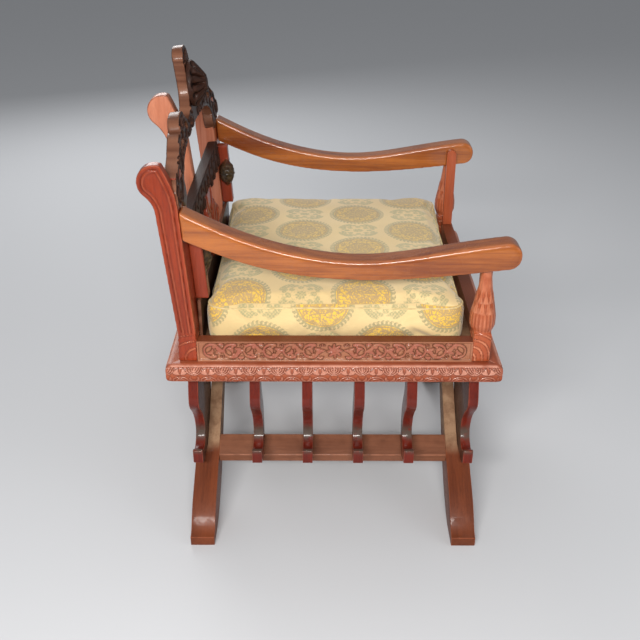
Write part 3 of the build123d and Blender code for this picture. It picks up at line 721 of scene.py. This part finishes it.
def rinceau(length, height):
    """C-scrolls that open towards a rosette in the middle, joined by leaves and small trefoils."""
    strokes = Strokes()
    reach = 0.405 * height
    start = 1.9 * reach
    count = round((length / 2 - start) / (39 * MM))
    pitch = (length / 2 - start) / count
    t = np.linspace(-2.0, 2.0, 34)
    for place in range(count):
        x, turn = start + (place + 0.42) * pitch, 1 if place % 2 == 0 else -1

        def at(u, v, far=0.0):
            return x + u * reach + far * pitch, turn * v * reach

        strokes.line(arc((x, 0), reach, t, 0.92 * turn * reach), 1.9 + 0.75 * np.abs(t), 0.9)
        strokes.line([at(-0.26, -0.56)], 3.8, 1.15)
        strokes.line([at(-0.12, 0.58)], 3.0, 1.1)
        strokes.leaf(at(-0.10, -0.25), at(0.62, 0.34), 0.3 * turn, 3.6, 1.0, 0.4)
        strokes.leaf(at(-0.55, -0.90), at(0, 0.090, -0.70), -0.22 * turn, 4.2, 1.0, 0.4)
        strokes.leaf(at(-0.75, -0.90), at(0, -0.855, -0.62), 0.15 * turn, 2.8, 0.9)
        strokes.leaf(at(-0.45, 0.46), at(0, 0.3864, -0.46), 0.3 * turn, 3.0, 0.9)
        u, v = at(0, 0.9016, -0.56)
        for shift_u, shift_v in ((0, 0), (3.4 * MM, 1.5 * MM), (-3.4 * MM, 1.5 * MM)):
            strokes.line([(u + shift_u, v - turn * shift_v)], 1.6, 0.8)
    strokes.mirror()
    for place in range(8):
        tip = 0.42 * height * np.array((cos(tau * place / 8), sin(tau * place / 8)))
        strokes.leaf(0.15 * tip, tip, 0.1, 3.0, 1.0, 0.5)
    strokes.line([(0, 0)], 3.2, 1.2)
    return strokes


def frieze(side, out):
    """One board of the frieze, carved inside a plain margin on the side that faces out."""
    low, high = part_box(f"frieze_{side}")
    out, up = Vector(out), Vector(UP)
    right = up.cross(out)
    length, depth = abs((high - low).dot(right)), abs((high - low).dot(out))
    height = high.z - low.z
    centre = np.array((low + high) / 2 + out * depth / 2)
    right, out, up = np.array(right), np.array(out), np.array(up)
    margin = 3.0 * MM
    carved_height = height - 2 * margin
    nu, nv = round(length / FRIEZE_PITCH), round(height / FRIEZE_PITCH)
    u, v = grid(np.linspace(-length / 2, length / 2, nu + 1), np.linspace(-height / 2, height / 2, nv + 1))
    inner = np.minimum(length / 2 - margin - np.abs(u), carved_height / 2 - np.abs(v))
    sunk = share(inner, 1.0 * MM)
    lift, cut = rinceau(length - 4 * margin, carved_height).relief(u, v, 2.6, 1.3, 1.5)
    border = bell(inner, 1.1 * MM) * (inner > -0.4 * MM)
    hollow = share(cut * 0.85 + 0.4 * border) * (inner > -0.5 * MM)
    edge = sunk * share(lift, 1.4 * MM)
    face = centre + u[:, None] * right + v[:, None] * up
    front = face + (sunk * (lift - 2.4 * MM))[:, None] * out
    piece = board(f"frieze_{side}_carved", front, face - depth * out, nu, nv, hollow, edge)
    fit(piece, FRIEZE[side], "frieze_mahogany", f"frieze_{side}")


frieze("front", (0, -1, 0))
frieze("rear", (0, 1, 0))
frieze("left", (1, 0, 0))
frieze("right", (-1, 0, 0))


MOLDING_PITCH, MOLDING_STEPS = 1.15 * MM, 52
MOLDING_ROUND = 12 * MM


def molding_strokes(pitch, count, height):
    """The edge of the molding: hung shields and leaf fans in turn above, a row of small arches below."""
    strokes = Strokes()
    top, middle, foot = 0.90 * height, 0.50 * height, 0.15 * height
    hung, arched = np.linspace(0, pi, 26), np.linspace(-0.15, pi + 0.15, 26)
    for place in range(-count // 2 - 1, count // 2 + 2):
        x = place * pitch
        between = x + pitch / 2
        for reach in (0.27, 0.185, 0.10):
            hang = (top - middle) * (0.35 + 2.4 * reach)
            across = x + reach * pitch * np.cos(hung)
            strokes.line(np.stack((across, top - hang * np.sin(hung) ** 0.8), 1), 1.15)
        strokes.leaf((x, top), (x, middle + 4 * MM), 0.0, 1.8)
        for step in (-1, 1):
            for order in range(4):
                root = (between + step * (0.6 + 1.3 * order) * MM, middle + 0.4 * MM * order)
                tip = (between + step * (3.0 + 3.4 * order) * MM, top - (0.6 + 2.0 * order) * MM)
                strokes.leaf(root, tip, -0.18 * step, 1.7, 0.95)
            tip = (x + step * 7.0 * MM, 0.40 * height)
            strokes.leaf((x + step * 1.5 * MM, foot), tip, -0.3 * step, 2.3, 0.95)
        for reach, rise in ((14.5 * MM, 8.5 * MM), (8.0 * MM, 4.6 * MM)):
            strokes.line(arc((between, foot), reach, arched, rise), 1.3, 0.9)
    return strokes


def molding_profile(height):
    """Insets and heights of the points up the rounded edge of the molding."""
    k = np.arange(MOLDING_STEPS + 1) / MOLDING_STEPS
    z = height * (0.5 - 0.5 * np.cos(pi * k)) * 0.5 + height * k * 0.5
    past = np.maximum(np.maximum(MOLDING_ROUND - z, z - height + MOLDING_ROUND), 0)
    return MOLDING_ROUND - np.sqrt(MOLDING_ROUND**2 - past**2), z


def molding_edge():
    """The carved outer edge of the seat molding, one strip round all four sides."""
    boxes = [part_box(f"molding_{side}") for side in SIDES]
    low = Vector([min(box[0][axis] for box in boxes) for axis in range(3)])
    high = Vector([max(box[1][axis] for box in boxes) for axis in range(3)])
    height = high.z - low.z
    profile_inset, profile_z = molding_profile(height)
    corners = [(low.x, high.y), (low.x, low.y), (high.x, low.y), (high.x, high.y)]
    for side, start, end in zip(("right", "front", "left", "rear"), corners, corners[1:] + corners[:1]):
        start, end = np.array(start), np.array(end)
        length = float(np.linalg.norm(end - start))
        run = (end - start) / length
        out = np.array((run[1], -run[0]))
        count = round(length / (50 * MM))
        strokes = molding_strokes(length / count, count, height)
        nu = round(length / MOLDING_PITCH)
        u, z = grid(np.linspace(0, length, nu + 1), profile_z)
        inset = np.tile(profile_inset, nu + 1)
        lift, cut = strokes.relief(u - length / 2, z, 1.9, 0.9, 1.1)
        bead = groove(z, 0.945 * height, 3.4 * MM) ** 0.5
        bead = np.maximum(bead, 0.8 * groove(z, 0.10 * height, 3.4 * MM) ** 0.5)
        lift = np.maximum(lift, 1.7 * MM * bead)
        ends = share(np.minimum(u, length - u), 6 * MM)
        lift *= ends * share(height - z, 1.2 * MM) * share(z, 1.0 * MM)
        lift += 0.2 * MM
        # Each strip ends on the mitre, so a point's run shortens by how far it lies inside the corner.
        toward = (u / length - 0.5) * 2
        depth = MOLDING_ROUND + 2 * MM
        flat = start + (u - toward * inset)[:, None] * run + (lift - inset)[:, None] * out
        back_flat = start + (u - toward * depth)[:, None] * run - depth * out
        front = np.column_stack((flat, low.z + z))
        back = np.column_stack((back_flat, low.z + 0.4 * MM + z * (height - 0.8 * MM) / height))
        hollow = 0.75 * cut * (1 - bead) * ends
        edge = share((lift / (1.9 * MM) - 0.35) * 1.5)
        piece = board(f"molding_{side}_edge", front, back, nu, MOLDING_STEPS, hollow, edge)
        fit(piece, MOLD[side], "molding_mahogany")


molding_edge()
for side in SIDES:
    round_over(f"molding_{side}", 0.8, MOLD[side], "molding_mahogany")


# ---- arms

def arm(side):
    """An arm with its edges well rounded over, the upper ones most."""
    piece = dense(f"arm_{side}", 2.3 * MM, 4)
    mesh = piece.data
    crisp = points_of(mesh)
    relax(mesh, 18)
    soft, normals = points_of(mesh), normals_of(mesh)
    lower = share(-normals[:, 2] - 0.1, 0.5)[:, None] * 0.6
    put_points(mesh, soft * (1 - lower) + crisp * lower)
    moved = np.linalg.norm(crisp - soft, axis=1)
    store(mesh, "edge", share(moved / (1.6 * MM) - 0.35))
    shade(mesh, 80)
    return piece


for side in TURN:
    fit(arm(side), ARM, "arm_mahogany", f"arm_{side}")
    round_over(f"arm_bracket_{side}", 3.0, BALUSTER, "post_mahogany")


# ---- posts and the middle upright

def outline_samples(node, x_face, step=1.5 * MM):
    """Points along the rim of the face of a solid that lies at x_face, as (y, z)."""
    work = solid_of(node)
    samples = []
    for edge in work.edges:
        a, b = (vert.co for vert in edge.verts)
        if max(abs(a.x - x_face), abs(b.x - x_face)) < 0.2 * MM:
            count = max(1, int((a - b).length / step))
            samples += [tuple(a.lerp(b, (k + 0.5) / count)[1:]) for k in range(count)]
    work.free()
    return np.array(samples)


def away(points, samples):
    """Distance of each (y, z) from the nearest sample."""
    best = np.full(len(points), FAR)
    for start in range(0, len(samples), 64):
        part = samples[start:start + 64]
        gap = np.sqrt(((points[:, None, :] - part[None]) ** 2).sum(2)).min(1)
        best = np.minimum(best, gap)
    return best


def block_relief(points, normals, middle, top, reach, lean=1):
    """Broad leaf veins that bend over from a lower corner, on the four faces of a block on the ledge.

    Gives the lift, and the marks of the cuts and of the ridges.
    """
    strokes = Strokes()
    t = np.linspace(0, pi / 2, 26)
    for place in range(4):
        u = -0.95 * reach + 1.25 * (0.35 + 0.5 * place) * reach * np.sin(t) ** 0.8
        v = LEDGE_Z + (top - LEDGE_Z) * (0.30 + 0.24 * place) * np.maximum(np.cos(t), 0) ** 0.75
        strokes.line(np.stack((u, v), 1), 2.0)
    x, y, z = points.T
    inside = share(z - LEDGE_Z - 1 * MM, 2 * MM) * share(top - z, 2 * MM)
    side_on, end_on = np.abs(normals[:, 0]), np.abs(normals[:, 1])
    across = np.where(side_on > 0.8, y - middle[1], x - middle[0]) * lean
    face = (np.maximum(side_on, end_on) > 0.85) * inside
    lift, cut = strokes.relief(across, z, 1.5, 1.0, 1.2)
    return face * (lift - 0.4 * MM), face * cut, face * share(lift, 1.5 * MM)


def corner_post(side):
    """A corner post with three moldings that follow the outline of its outer face."""
    node, turn = f"back_post_{side}", TURN[side]
    samples = outline_samples(node, turn * HALF_WIDTH)
    middle, block_top = (turn * 270 * MM, SEAT_Y + 270.5 * MM), LEDGE_Z + 56 * MM

    def heights(points, normals):
        gap = away(points[:, 1:], samples) / MM
        outer = share(turn * normals[:, 0] - 0.6, 0.2)
        outer = outer * share(points[:, 2] - block_top, 4 * MM)
        molded = 0.9 * groove(gap, 10.5, 4.0) - 1.7 * groove(gap, 7.5, 3.4)
        molded -= 1.1 * groove(gap, 13.5, 3.0) + 0.8 * share(gap - 14, 3)
        block, cut, ridge = block_relief(points, normals, middle, block_top, 43 * MM)
        side_on = turn * normals[:, 0] > -0.2
        rims = groove(gap, 10.5, 3.0) * 0.4 + share(1 - gap / 3.2) * 0.6
        cuts = 0.9 * groove(gap, 7.3, 2.8) + 0.6 * groove(gap, 13.6, 2.6)
        hollow = share(outer * cuts + cut * side_on)
        edge = share(outer * rims + ridge * side_on * 0.9)
        return outer * molded * MM + block * side_on, {"hollow": hollow, "edge": edge}

    carve(node, 1.7, 4, POST, "post_mahogany", heights)


def front_post(side):
    """A baluster with reeds round its belly, two rows of pointed leaves over them, and a fluted neck."""
    node, turn = f"front_post_{side}", TURN[side]
    middle, block_top = (turn * 292 * MM, SEAT_Y - 271.5 * MM), LEDGE_Z + 58 * MM

    def heights(points, normals):
        z = points[:, 2]
        angle = np.arctan2(points[:, 1] - middle[1], points[:, 0] - middle[0])
        sides = share(1 - np.abs(normals[:, 2]) * 0.9) * share(z - 469 * MM, 2 * MM)
        tip = 512 * MM + 9 * MM * np.abs(np.cos(5 * angle))
        belly = share(tip - z, 2 * MM)
        round_reed = np.abs(np.cos(10 * angle))
        reeds = round_reed**0.55 * belly
        rows, cuts = np.zeros(len(z)), (1 - round_reed**0.45) * belly
        for base, shift in ((508 * MM, 0.0), (528 * MM, 0.5)):
            part = (z - base) / (30 * MM)
            width = share(1 - part) ** 0.7 * (part > 0)
            across = np.abs(((angle / tau * 10 + shift) % 1.0) - 0.5) * 2
            leaf = share(width - across, 0.25) * (part > 0)
            rows = np.maximum(rows, leaf * (1 - 0.35 * bell(across, 0.12)))
            rim = bell(across - width, 0.14) * (part > 0) * (part < 1)
            cuts = np.maximum(cuts, rim)
        neck = share(z - 545 * MM, 8 * MM)
        flutes = 0.5 * np.abs(np.cos(5 * angle)) * neck
        lift = 1.3 * MM * np.maximum(np.maximum(reeds, rows), flutes) - 0.5 * MM
        block, block_cut, ridge = block_relief(points, normals, middle, block_top, 21 * MM, lean=-1)
        hollow = share(sides * cuts * 0.9 * (1 - 0.6 * neck) + block_cut)
        edge = share(sides * (0.55 * reeds**4 + 0.8 * rows**3 + 0.5 * neck) + 0.9 * ridge)
        return sides * lift + block, {"hollow": hollow, "edge": edge}

    carve(node, 1.6, 5, BALUSTER, "post_mahogany", heights)


for side in TURN:
    corner_post(side)
    front_post(side)
round_over("centre_upright", 3.0, UPRIGHT, "post_mahogany")


# ---- back boards and crest

def facing(normals):
    """1 where the surface faces forwards, and 0 on the sides and the back."""
    return share(-normals[:, 1] - 0.45, 0.3)


def carved_front(node, voxel, finish, strokes, high, deep, sunk, dark=1.0):
    """Carve strokes into the front of a board of the back."""
    def heights(points, normals):
        lift, cut = strokes.relief(points[:, 0], points[:, 2], high, deep)
        front = facing(normals)
        marks = {"hollow": front * cut * dark, "edge": front * np.clip(lift / (4 * MM), 0, 0.5)}
        return front * (lift - sunk * MM), marks

    carve(node, voxel, 3, finish, "carved_mahogany", heights)


def crest_strokes():
    """Pairs of leaves that run out along the arch, four scrolls over them, and a fan on the cap."""
    strokes = Strokes()
    spine = [
        (0.030, 0.795), (0.075, 0.790), (0.120, 0.800), (0.165, 0.800), (0.205, 0.783), (0.245, 0.762),
        (0.285, 0.728),
    ]
    for (x0, z0), (x1, z1) in zip(spine, spine[1:]):
        for lean, rise in ((0.3, 15 * MM), (-0.3, -13 * MM)):
            strokes.leaf((x0, z0 + 0.25 * rise), (x1 - 6 * MM, z1 + rise), lean, 4.6, 1.0, 0.6)
            root, tip = (x0 + 10 * MM, z0 + 0.5 * rise), (x1 - 18 * MM, z1 + 1.5 * rise)
            strokes.leaf(root, tip, lean * 1.2, 3.6, 0.85, 0.5)
    strokes.scroll((0.158, 0.812), 14, 1.5, -pi / 2, 3.0, 1.3)
    strokes.scroll((0.240, 0.775), 9, 1.3, -pi / 2, 2.4, 1.1)
    strokes.scroll((0.286, 0.727), 15, -1.6, pi / 2, 3.2, 1.3)
    strokes.scroll((0.052, 0.786), 12, -1.4, pi, 2.8, 1.2)
    for place in range(4):
        u, v = cos(pi / 2 - 0.42 * place), sin(pi / 2 - 0.42 * place)
        strokes.leaf((4 * MM * u, 0.887), (25 * MM * u, 0.884 + 29 * MM * v), -0.15, 4.0, 1.1, 0.5)
    strokes.mirror()
    return strokes


def crest_shell():
    """The shell's petals are ribbed round a sunk ring."""
    def petals(points, normals):
        x, z = points[:, 0], points[:, 2] - SHELL_Z
        angle, reach = np.arctan2(z, x), np.hypot(x, z)
        ribs = np.cos(11 * (angle - pi / 2)) * share(reach - 12 * MM, 10 * MM)
        lift = facing(normals) * (0.9 * MM * ribs - 0.8 * MM * groove(reach, 14.5 * MM, 4 * MM))
        return lift, {"edge": np.zeros(len(x)), "hollow": facing(normals) * share(-ribs)}

    carve("crest_shell", 1.5, 5, DARK, "carved_mahogany", petals)


def splat_strokes():
    """Leaves that fan out over the vase, and two scrolls."""
    strokes = Strokes()
    for base, tip, bend in (
        ((0.010, 0.530), (0.048, 0.610), -0.2),
        ((0.020, 0.528), (0.082, 0.575), -0.25),
        ((0.030, 0.522), (0.088, 0.548), -0.2),
        ((0.006, 0.585), (0.030, 0.640), -0.15),
        ((0.012, 0.560), (0.060, 0.592), 0.2),
    ):
        strokes.leaf(base, tip, bend, 5.0, 1.0, 0.6)
    strokes.scroll((0.078, 0.556), 11, 1.4, 0, 2.6, 1.2)
    strokes.mirror()
    strokes.leaf((0, 0.515), (0, 0.545), 0, 5.0, 1.0, 0.5)
    return strokes


def rail_strokes():
    """A ring with a bead on each hanging lobe, and two long leaves over it."""
    strokes = Strokes()
    run = (226 - 42) * MM
    for place in range(4):
        x = 42 * MM + (place + 0.5) * run / 4
        strokes.line(arc((x, 0.6285), 10 * MM, np.linspace(0, tau, 40)), 2.4)
        strokes.line([(x, 0.6285)], 3.4, 1.1)
        strokes.leaf((x - 18 * MM, 0.645), (x + 18 * MM, 0.650), 0.35, 3.6, 1.0, 0.6)
        strokes.leaf((x - 10 * MM, 0.656), (x + 12 * MM, 0.658), 0.2, 2.6, 0.8, 0.5)
    strokes.scroll((0.016, 0.642), 13, -1.4, pi / 2, 2.8, 1.2)
    strokes.mirror()
    return strokes


def stile(side):
    """A stile with a husk in the middle of its height, covered with overlapping scales."""
    node, turn = f"back_stile_{side}", TURN[side]
    husk_x, husk_z, half = turn * 238 * MM, 588 * MM, 34 * MM
    front_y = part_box(node)[0].y

    def heights(points, normals):
        x, y, z = points[:, 0] - husk_x, points[:, 1], points[:, 2] - husk_z
        outside = (turn * x < -0.6 * MM) | (y - 0.061 * z < front_y + 11.0 * MM)
        husk = outside * share(1 - (z / half) ** 2) ** 0.3 * (np.abs(z) < half)
        angle = np.arctan2(y - front_y - 17 * MM, x)
        row = z / (9 * MM)
        scale = ((angle / tau * 8 + 0.5 * (np.floor(row) % 2)) % 1.0 - 0.5) * 2
        drop = (row - np.floor(row)) - 0.7 * scale**2
        scales = share(drop)
        marks = {"husk": husk, "edge": 0.4 * husk * scales, "hollow": husk * (drop < 0.12)}
        return husk * (1.6 * MM * scales - 0.3 * MM), marks

    carve(node, 1.5, 3, STILE, "carved_mahogany", heights)


carved_front("crest", 2.0, CARVED, crest_strokes(), 2.6, 1.0, 0.8)
crest_shell()
carved_front("splat", 1.8, SPLAT, splat_strokes(), 2.2, 0.9, 0.7, dark=0.8)
carved_front("mid_rail", 1.8, DARK, rail_strokes(), 2.2, 0.8, 0.7)
for side in TURN:
    stile(side)
round_over("back_board", 2.0, CARVED, "carved_mahogany")


# ---- cushion

CUSHION_LOW, CUSHION_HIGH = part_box("cushion")
CUSHION_Y = (CUSHION_LOW.y + CUSHION_HIGH.y) / 2
CUSHION_HALF_X = (CUSHION_HIGH.x - CUSHION_LOW.x) / 2
CUSHION_HALF_Y = (CUSHION_HIGH.y - CUSHION_LOW.y) / 2
REPEAT_U, REPEAT_V = 116 * MM, 96 * MM


def printed_cloth():
    """Straw-coloured furnishing cloth, printed with lace medallions and small square sprigs in turn."""
    finish = Finish("printed cloth")
    place = finish.place()
    x, y, z = finish.split(place)
    wobble = finish.noise(place, 26.0, 2.0)
    below = z.ramp(SEAM_Z - 0.0005, SEAM_Z + 0.0005, 1.0, 0.0)
    end_side = (abs(y - CUSHION_Y) - CUSHION_HALF_Y).above(abs(x) - CUSHION_HALF_X)
    side_across = x * end_side + y * (1.0 - end_side)
    # The boxing is a strip of its own: its medallions hang from the seam and rise from the seat in turn.
    u = y * (1.0 - below) + (side_across - 0.07505) * below
    v = x * (1.0 - below) + (0.265 - z) * below
    s, t = (u + 0.0723) / REPEAT_U, (v + 0.250) / REPEAT_V
    a, b = (s + t) * 0.5, (s - t) * 0.5
    near_a, near_b = a - a.round(), b - b.round()
    du, dv = (near_a + near_b) * REPEAT_U, (near_a - near_b) * REPEAT_V
    reach = (du * du + dv * dv).root() * 1000.0 + (wobble - 0.5) * 1.5
    angle = dv.arctan(du)
    flat = finish.join(u, v, 0.0)
    cells = finish.cells(flat, 165.0)
    specks = finish.noise(flat, 290.0, 2.0, 0.6)

    shade_of = finish.noise(place, 5.0, 3.0).ramp(0.3, 0.7)
    ground = finish.mix(shade_of, (0.62, 0.455, 0.215), (0.70, 0.53, 0.265))
    # Painted shade and sheen: the gold and taupe of the print turn duller towards the far side of the
    # cushion.
    far_shade_and_sheen = x.ramp(-0.235, 0.02)
    gold = finish.mix(far_shade_and_sheen, (0.74, 0.465, 0.060), (0.62, 0.42, 0.110))
    taupe = finish.mix(far_shade_and_sheen, (0.37, 0.250, 0.130), (0.335, 0.245, 0.125))
    olive = (0.335, 0.285, 0.145)

    # Scalloped lace rim, gold field crossed by fine lace, quieter middle
    scallop = 58.6 + abs((angle * 22.0).sin()) * 2.2
    disc = (reach - scallop).ramp(0.8, -0.8)
    holes = (angle * 44.0).sin().ramp(0.0, 0.6) * reach.ramp(53.0, 54.5) * reach.ramp(60.0, 58.0)
    rim = finish.mix((holes * 0.8 + specks.ramp(0.45, 0.65) * 0.4).clamp(), olive, ground)
    core = (reach - 50.5).ramp(0.8, -0.8)
    petals = (angle * 12.0 + (reach * 0.25).sin() * 1.4).sin() * (reach * 0.37).sin()
    vine = abs((angle * 6.0 - reach * 0.16).sin() * 0.6 + (specks - 0.5) * 0.9 + petals * 0.5)
    lace = vine.ramp(0.30, 0.10).most(cells.ramp(0.16, 0.08) * specks.ramp(0.42, 0.52))
    lace = lace.most(reach.near(47.5, 1.6, 0.8)).most(reach.near(25.0, 1.4, 0.7))
    middle = (reach - 24.0).ramp(1.5, -1.5)
    lace = (lace + middle * specks.ramp(0.40, 0.52) * 0.8).clamp()
    inner = finish.mix(lace * 0.88, gold, taupe)
    medallion = finish.mix(core, rim, inner)
    colour = finish.mix(disc, ground, medallion)

    # Between four medallions, a sprig of soft petals in four quarters
    far_a, far_b = a - a.floor() - 0.5, b - b.floor() - 0.5
    su, sv = (far_a + far_b) * (REPEAT_U / MM), (far_a - far_b) * (REPEAT_V / MM)
    out = ((su / 41.0) ** 2.0 + (sv / 33.0) ** 2.0).root()
    swing = (sv * 1.24).arctan(su)
    quarter, eighth = (swing * 4.0).sin(), (swing * 8.0 + 1.57).sin()
    bloom = out.ramp(0.34, 0.16) * ((swing * 8.0).sin() * 0.4 + 0.8)
    garland = out.near(0.58, 0.20, 0.05) * (eighth * 0.5 + 0.5)
    buds = out.near(0.98, 0.22, 0.06) * (0.5 - (swing * 4.0 + 1.57).sin() * 0.5)
    sprays = out.near(0.80, 0.16, 0.04) * abs(quarter)
    sprig = bloom.most(garland).most(buds).most(sprays * 0.8)
    hatch = ((su * 0.95).sin() * (sv * 0.95).sin()).ramp(-0.5, 0.4, 0.55, 1.0)
    mask = sprig.ramp(0.24, 0.50) * specks.ramp(0.36, 0.50, 0.35, 1.0) * hatch
    mask = mask.most(out.ramp(1.12, 0.9) * specks.ramp(0.56, 0.62) * 0.45)
    colour = finish.mix(mask * 0.80, colour, (0.27, 0.275, 0.145))

    threads = (x * 5200.0).sin() * 0.5 + (y * 5200.0 + z * 5200.0).sin() * 0.5
    slub = finish.drawn((x, y, z), (40, 900, 900)) + finish.drawn((x, y, z), (900, 40, 40))
    weave = threads * 0.35 + slub * 0.6
    colour = finish.mix((slub - 0.8).clamp() * 0.28, colour, (0.45, 0.36, 0.20))
    soiled = finish.noise(place, 3.2, 4.0, 0.6).ramp(0.48, 0.72)
    colour = finish.mix(soiled * 0.14, colour, (0.42, 0.36, 0.24))
    finish.set(Base_Color=colour, Roughness=0.82 + wobble * 0.08)
    finish.set(Sheen_Weight=0.25, Sheen_Roughness=0.5, Specular_IOR_Level=0.25)
    finish.relief(weave, 0.0004, 0.5)
    return finish.material


def piping_cloth():
    """The same cloth without its print, twisted round a cord."""
    finish = Finish("piping cloth")
    place = finish.place()
    tone = finish.noise(place, 90.0, 3.0).ramp(0.3, 0.7)
    twist = finish.noise(place, 700.0, 2.0)
    colour = finish.mix(tone, (0.50, 0.38, 0.17), (0.66, 0.52, 0.27))
    finish.set(Base_Color=colour, Roughness=0.85 + twist * 0.05)
    finish.relief(twist, 0.0004, 0.5)
    return finish.material


def rounded_loop(half_x, half_y, radius, step):
    """Points of a rounded rectangle about the middle of the cushion, as (x, y)."""
    corners = []
    for turn, (sx, sy) in enumerate(((1, 1), (-1, 1), (-1, -1), (1, -1))):
        middle = (sx * (half_x - radius), sy * (half_y - radius))
        corners += arc(middle, radius, np.linspace(turn, turn + 1, 9) * pi / 2).tolist()
    points = []
    for (x0, y0), (x1, y1) in zip(corners, corners[1:] + corners[:1]):
        count = max(1, round(((x1 - x0) ** 2 + (y1 - y0) ** 2) ** 0.5 / step))
        points += [(x0 + (x1 - x0) * k / count, y0 + (y1 - y0) * k / count) for k in range(count)]
    return [(x, y + CUSHION_Y) for x, y in points]


def block_of_stuffing():
    """A block with rounded corners and a low crown, as an even mesh."""
    base, top = CUSHION_LOW.z + 2 * MM, CUSHION_HIGH.z - 13 * MM
    loop = rounded_loop(CUSHION_HALF_X - 1 * MM, CUSHION_HALF_Y - 1 * MM, 28 * MM, 12 * MM)
    levels = (
        (0.985, base), (1.0, base + 8 * MM), (1.0, top - 7 * MM), (0.992, top),
        (0.90, top + 3 * MM), (0.62, top + 7 * MM), (0.3, top + 9 * MM),
    )
    points = [(x * size, CUSHION_Y + (y - CUSHION_Y) * size, z) for size, z in levels for x, y in loop]
    count = len(loop)
    faces = []
    for level in range(len(levels) - 1):
        for k in range(count):
            a, b = level * count + k, level * count + (k + 1) % count
            faces.append((a, b, b + count, a + count))
    faces.append(tuple(range(count - 1, -1, -1)))
    faces.append(tuple(range(len(points) - count, len(points))))
    mesh = bpy.data.meshes.new("cushion_pad")
    mesh.from_pydata(points, [], faces)
    return remeshed("cushion_pad", mesh, 5.5 * MM)


STUFFING = {
    "use_pressure": True, "uniform_pressure_force": 3.0, "quality": 6, "mass": 0.3,
    "tension_stiffness": 25, "compression_stiffness": 25, "bending_stiffness": 0.8,
}


def blow_up(piece):
    """Puff the cover out as cloth under pressure."""
    cloth = piece.modifiers.new("stuffing", "CLOTH")
    for name, value in STUFFING.items():
        setattr(cloth.settings, name, value)
    cloth.settings.effector_weights.gravity = 0
    cloth.collision_settings.use_collision = False
    cloth.collision_settings.use_self_collision = False
    scene = bpy.context.scene
    for number in range(1, 21):
        scene.frame_set(number)
    settle(piece)
    scene.frame_set(1)


def cushion_body():
    """The stuffed cushion: a crowned block, blown up as cloth, that rests flat on the seat."""
    piece = block_of_stuffing()
    relax(piece.data, 4)
    start = points_of(piece.data)
    blow_up(piece)
    move = points_of(piece.data) - start
    far = np.linalg.norm(move, axis=1)
    puffed = start + move * np.minimum(1, 11 * MM / np.maximum(far, 1e-9))[:, None]
    middle = np.array((0.0, CUSHION_Y))
    limit = np.array((CUSHION_HALF_X, CUSHION_HALF_Y)) - 0.4 * MM
    puffed[:, :2] = np.clip(puffed[:, :2], middle - limit, middle + limit)
    puffed[:, 2] = np.maximum(puffed[:, 2], CUSHION_LOW.z + 0.3 * MM)
    # The seam under the piping draws the cover in, and the cover puckers a little along it.
    x, y, z = puffed.T.copy()
    past = np.maximum(np.abs(x) - CUSHION_HALF_X, np.abs(y - CUSHION_Y) - CUSHION_HALF_Y) + 15 * MM
    pull = share(past, 10 * MM) * bell(z - SEAM_Z, 4.5 * MM)
    pucker = 1 + 0.3 * np.sin(x * 310 + y * 270)
    inward = puffed[:, :2] - middle
    inward /= np.maximum(np.linalg.norm(inward, axis=1), 1e-6)[:, None]
    puffed[:, :2] -= inward * (pull * pucker * 1.6 * MM)[:, None]
    x, y, z = puffed.T
    ripple = np.sin(y * 38 + 2.0 * np.sin(x * 17)) * np.sin(x * 23 + 1.3)
    puffed[:, 2] += 0.9 * MM * ripple * share(z - SEAM_Z - 2 * MM, 8 * MM)
    put_points(piece.data, puffed)
    piece.modifiers.new("finer", "SUBSURF").levels = 1
    settle(piece)
    shade(piece.data, 180)
    return piece


def seam_round(pad, name, radius, lift):
    """A round of piping laid on the pad along its upper edge."""
    tree = BVHTree.FromPolygons([v.co for v in pad.data.vertices], [p.vertices for p in pad.data.polygons])
    path = []
    for x, y in rounded_loop(CUSHION_HALF_X - 2 * MM, CUSHION_HALF_Y - 2 * MM, 38 * MM, 6 * MM):
        out = Vector((x, y - CUSHION_Y, 0)).normalized()
        path.append(tree.find_nearest(Vector((x, y, SEAM_Z)))[0] + out * lift)
    curve = bpy.data.curves.new(name, "CURVE")
    curve.dimensions = "3D"
    curve.bevel_depth = radius
    curve.bevel_resolution = 3
    spline = curve.splines.new("POLY")
    spline.points.add(len(path) - 1)
    for point, place in zip(spline.points, path):
        point.co = (*place, 1)
    spline.use_cyclic_u = True
    holder = link(name + "_line", curve)
    mesh = evaluated(holder)
    bpy.data.objects.remove(holder)
    shade(mesh, 180)
    return link(name, mesh)


pad = cushion_body()
fit(pad, printed_cloth(), "cushion_fabric", "cushion")
welt = seam_round(pad, "cushion_piping", 1.5 * MM, 0.3 * MM)
fit(welt, piping_cloth(), "cushion_fabric")
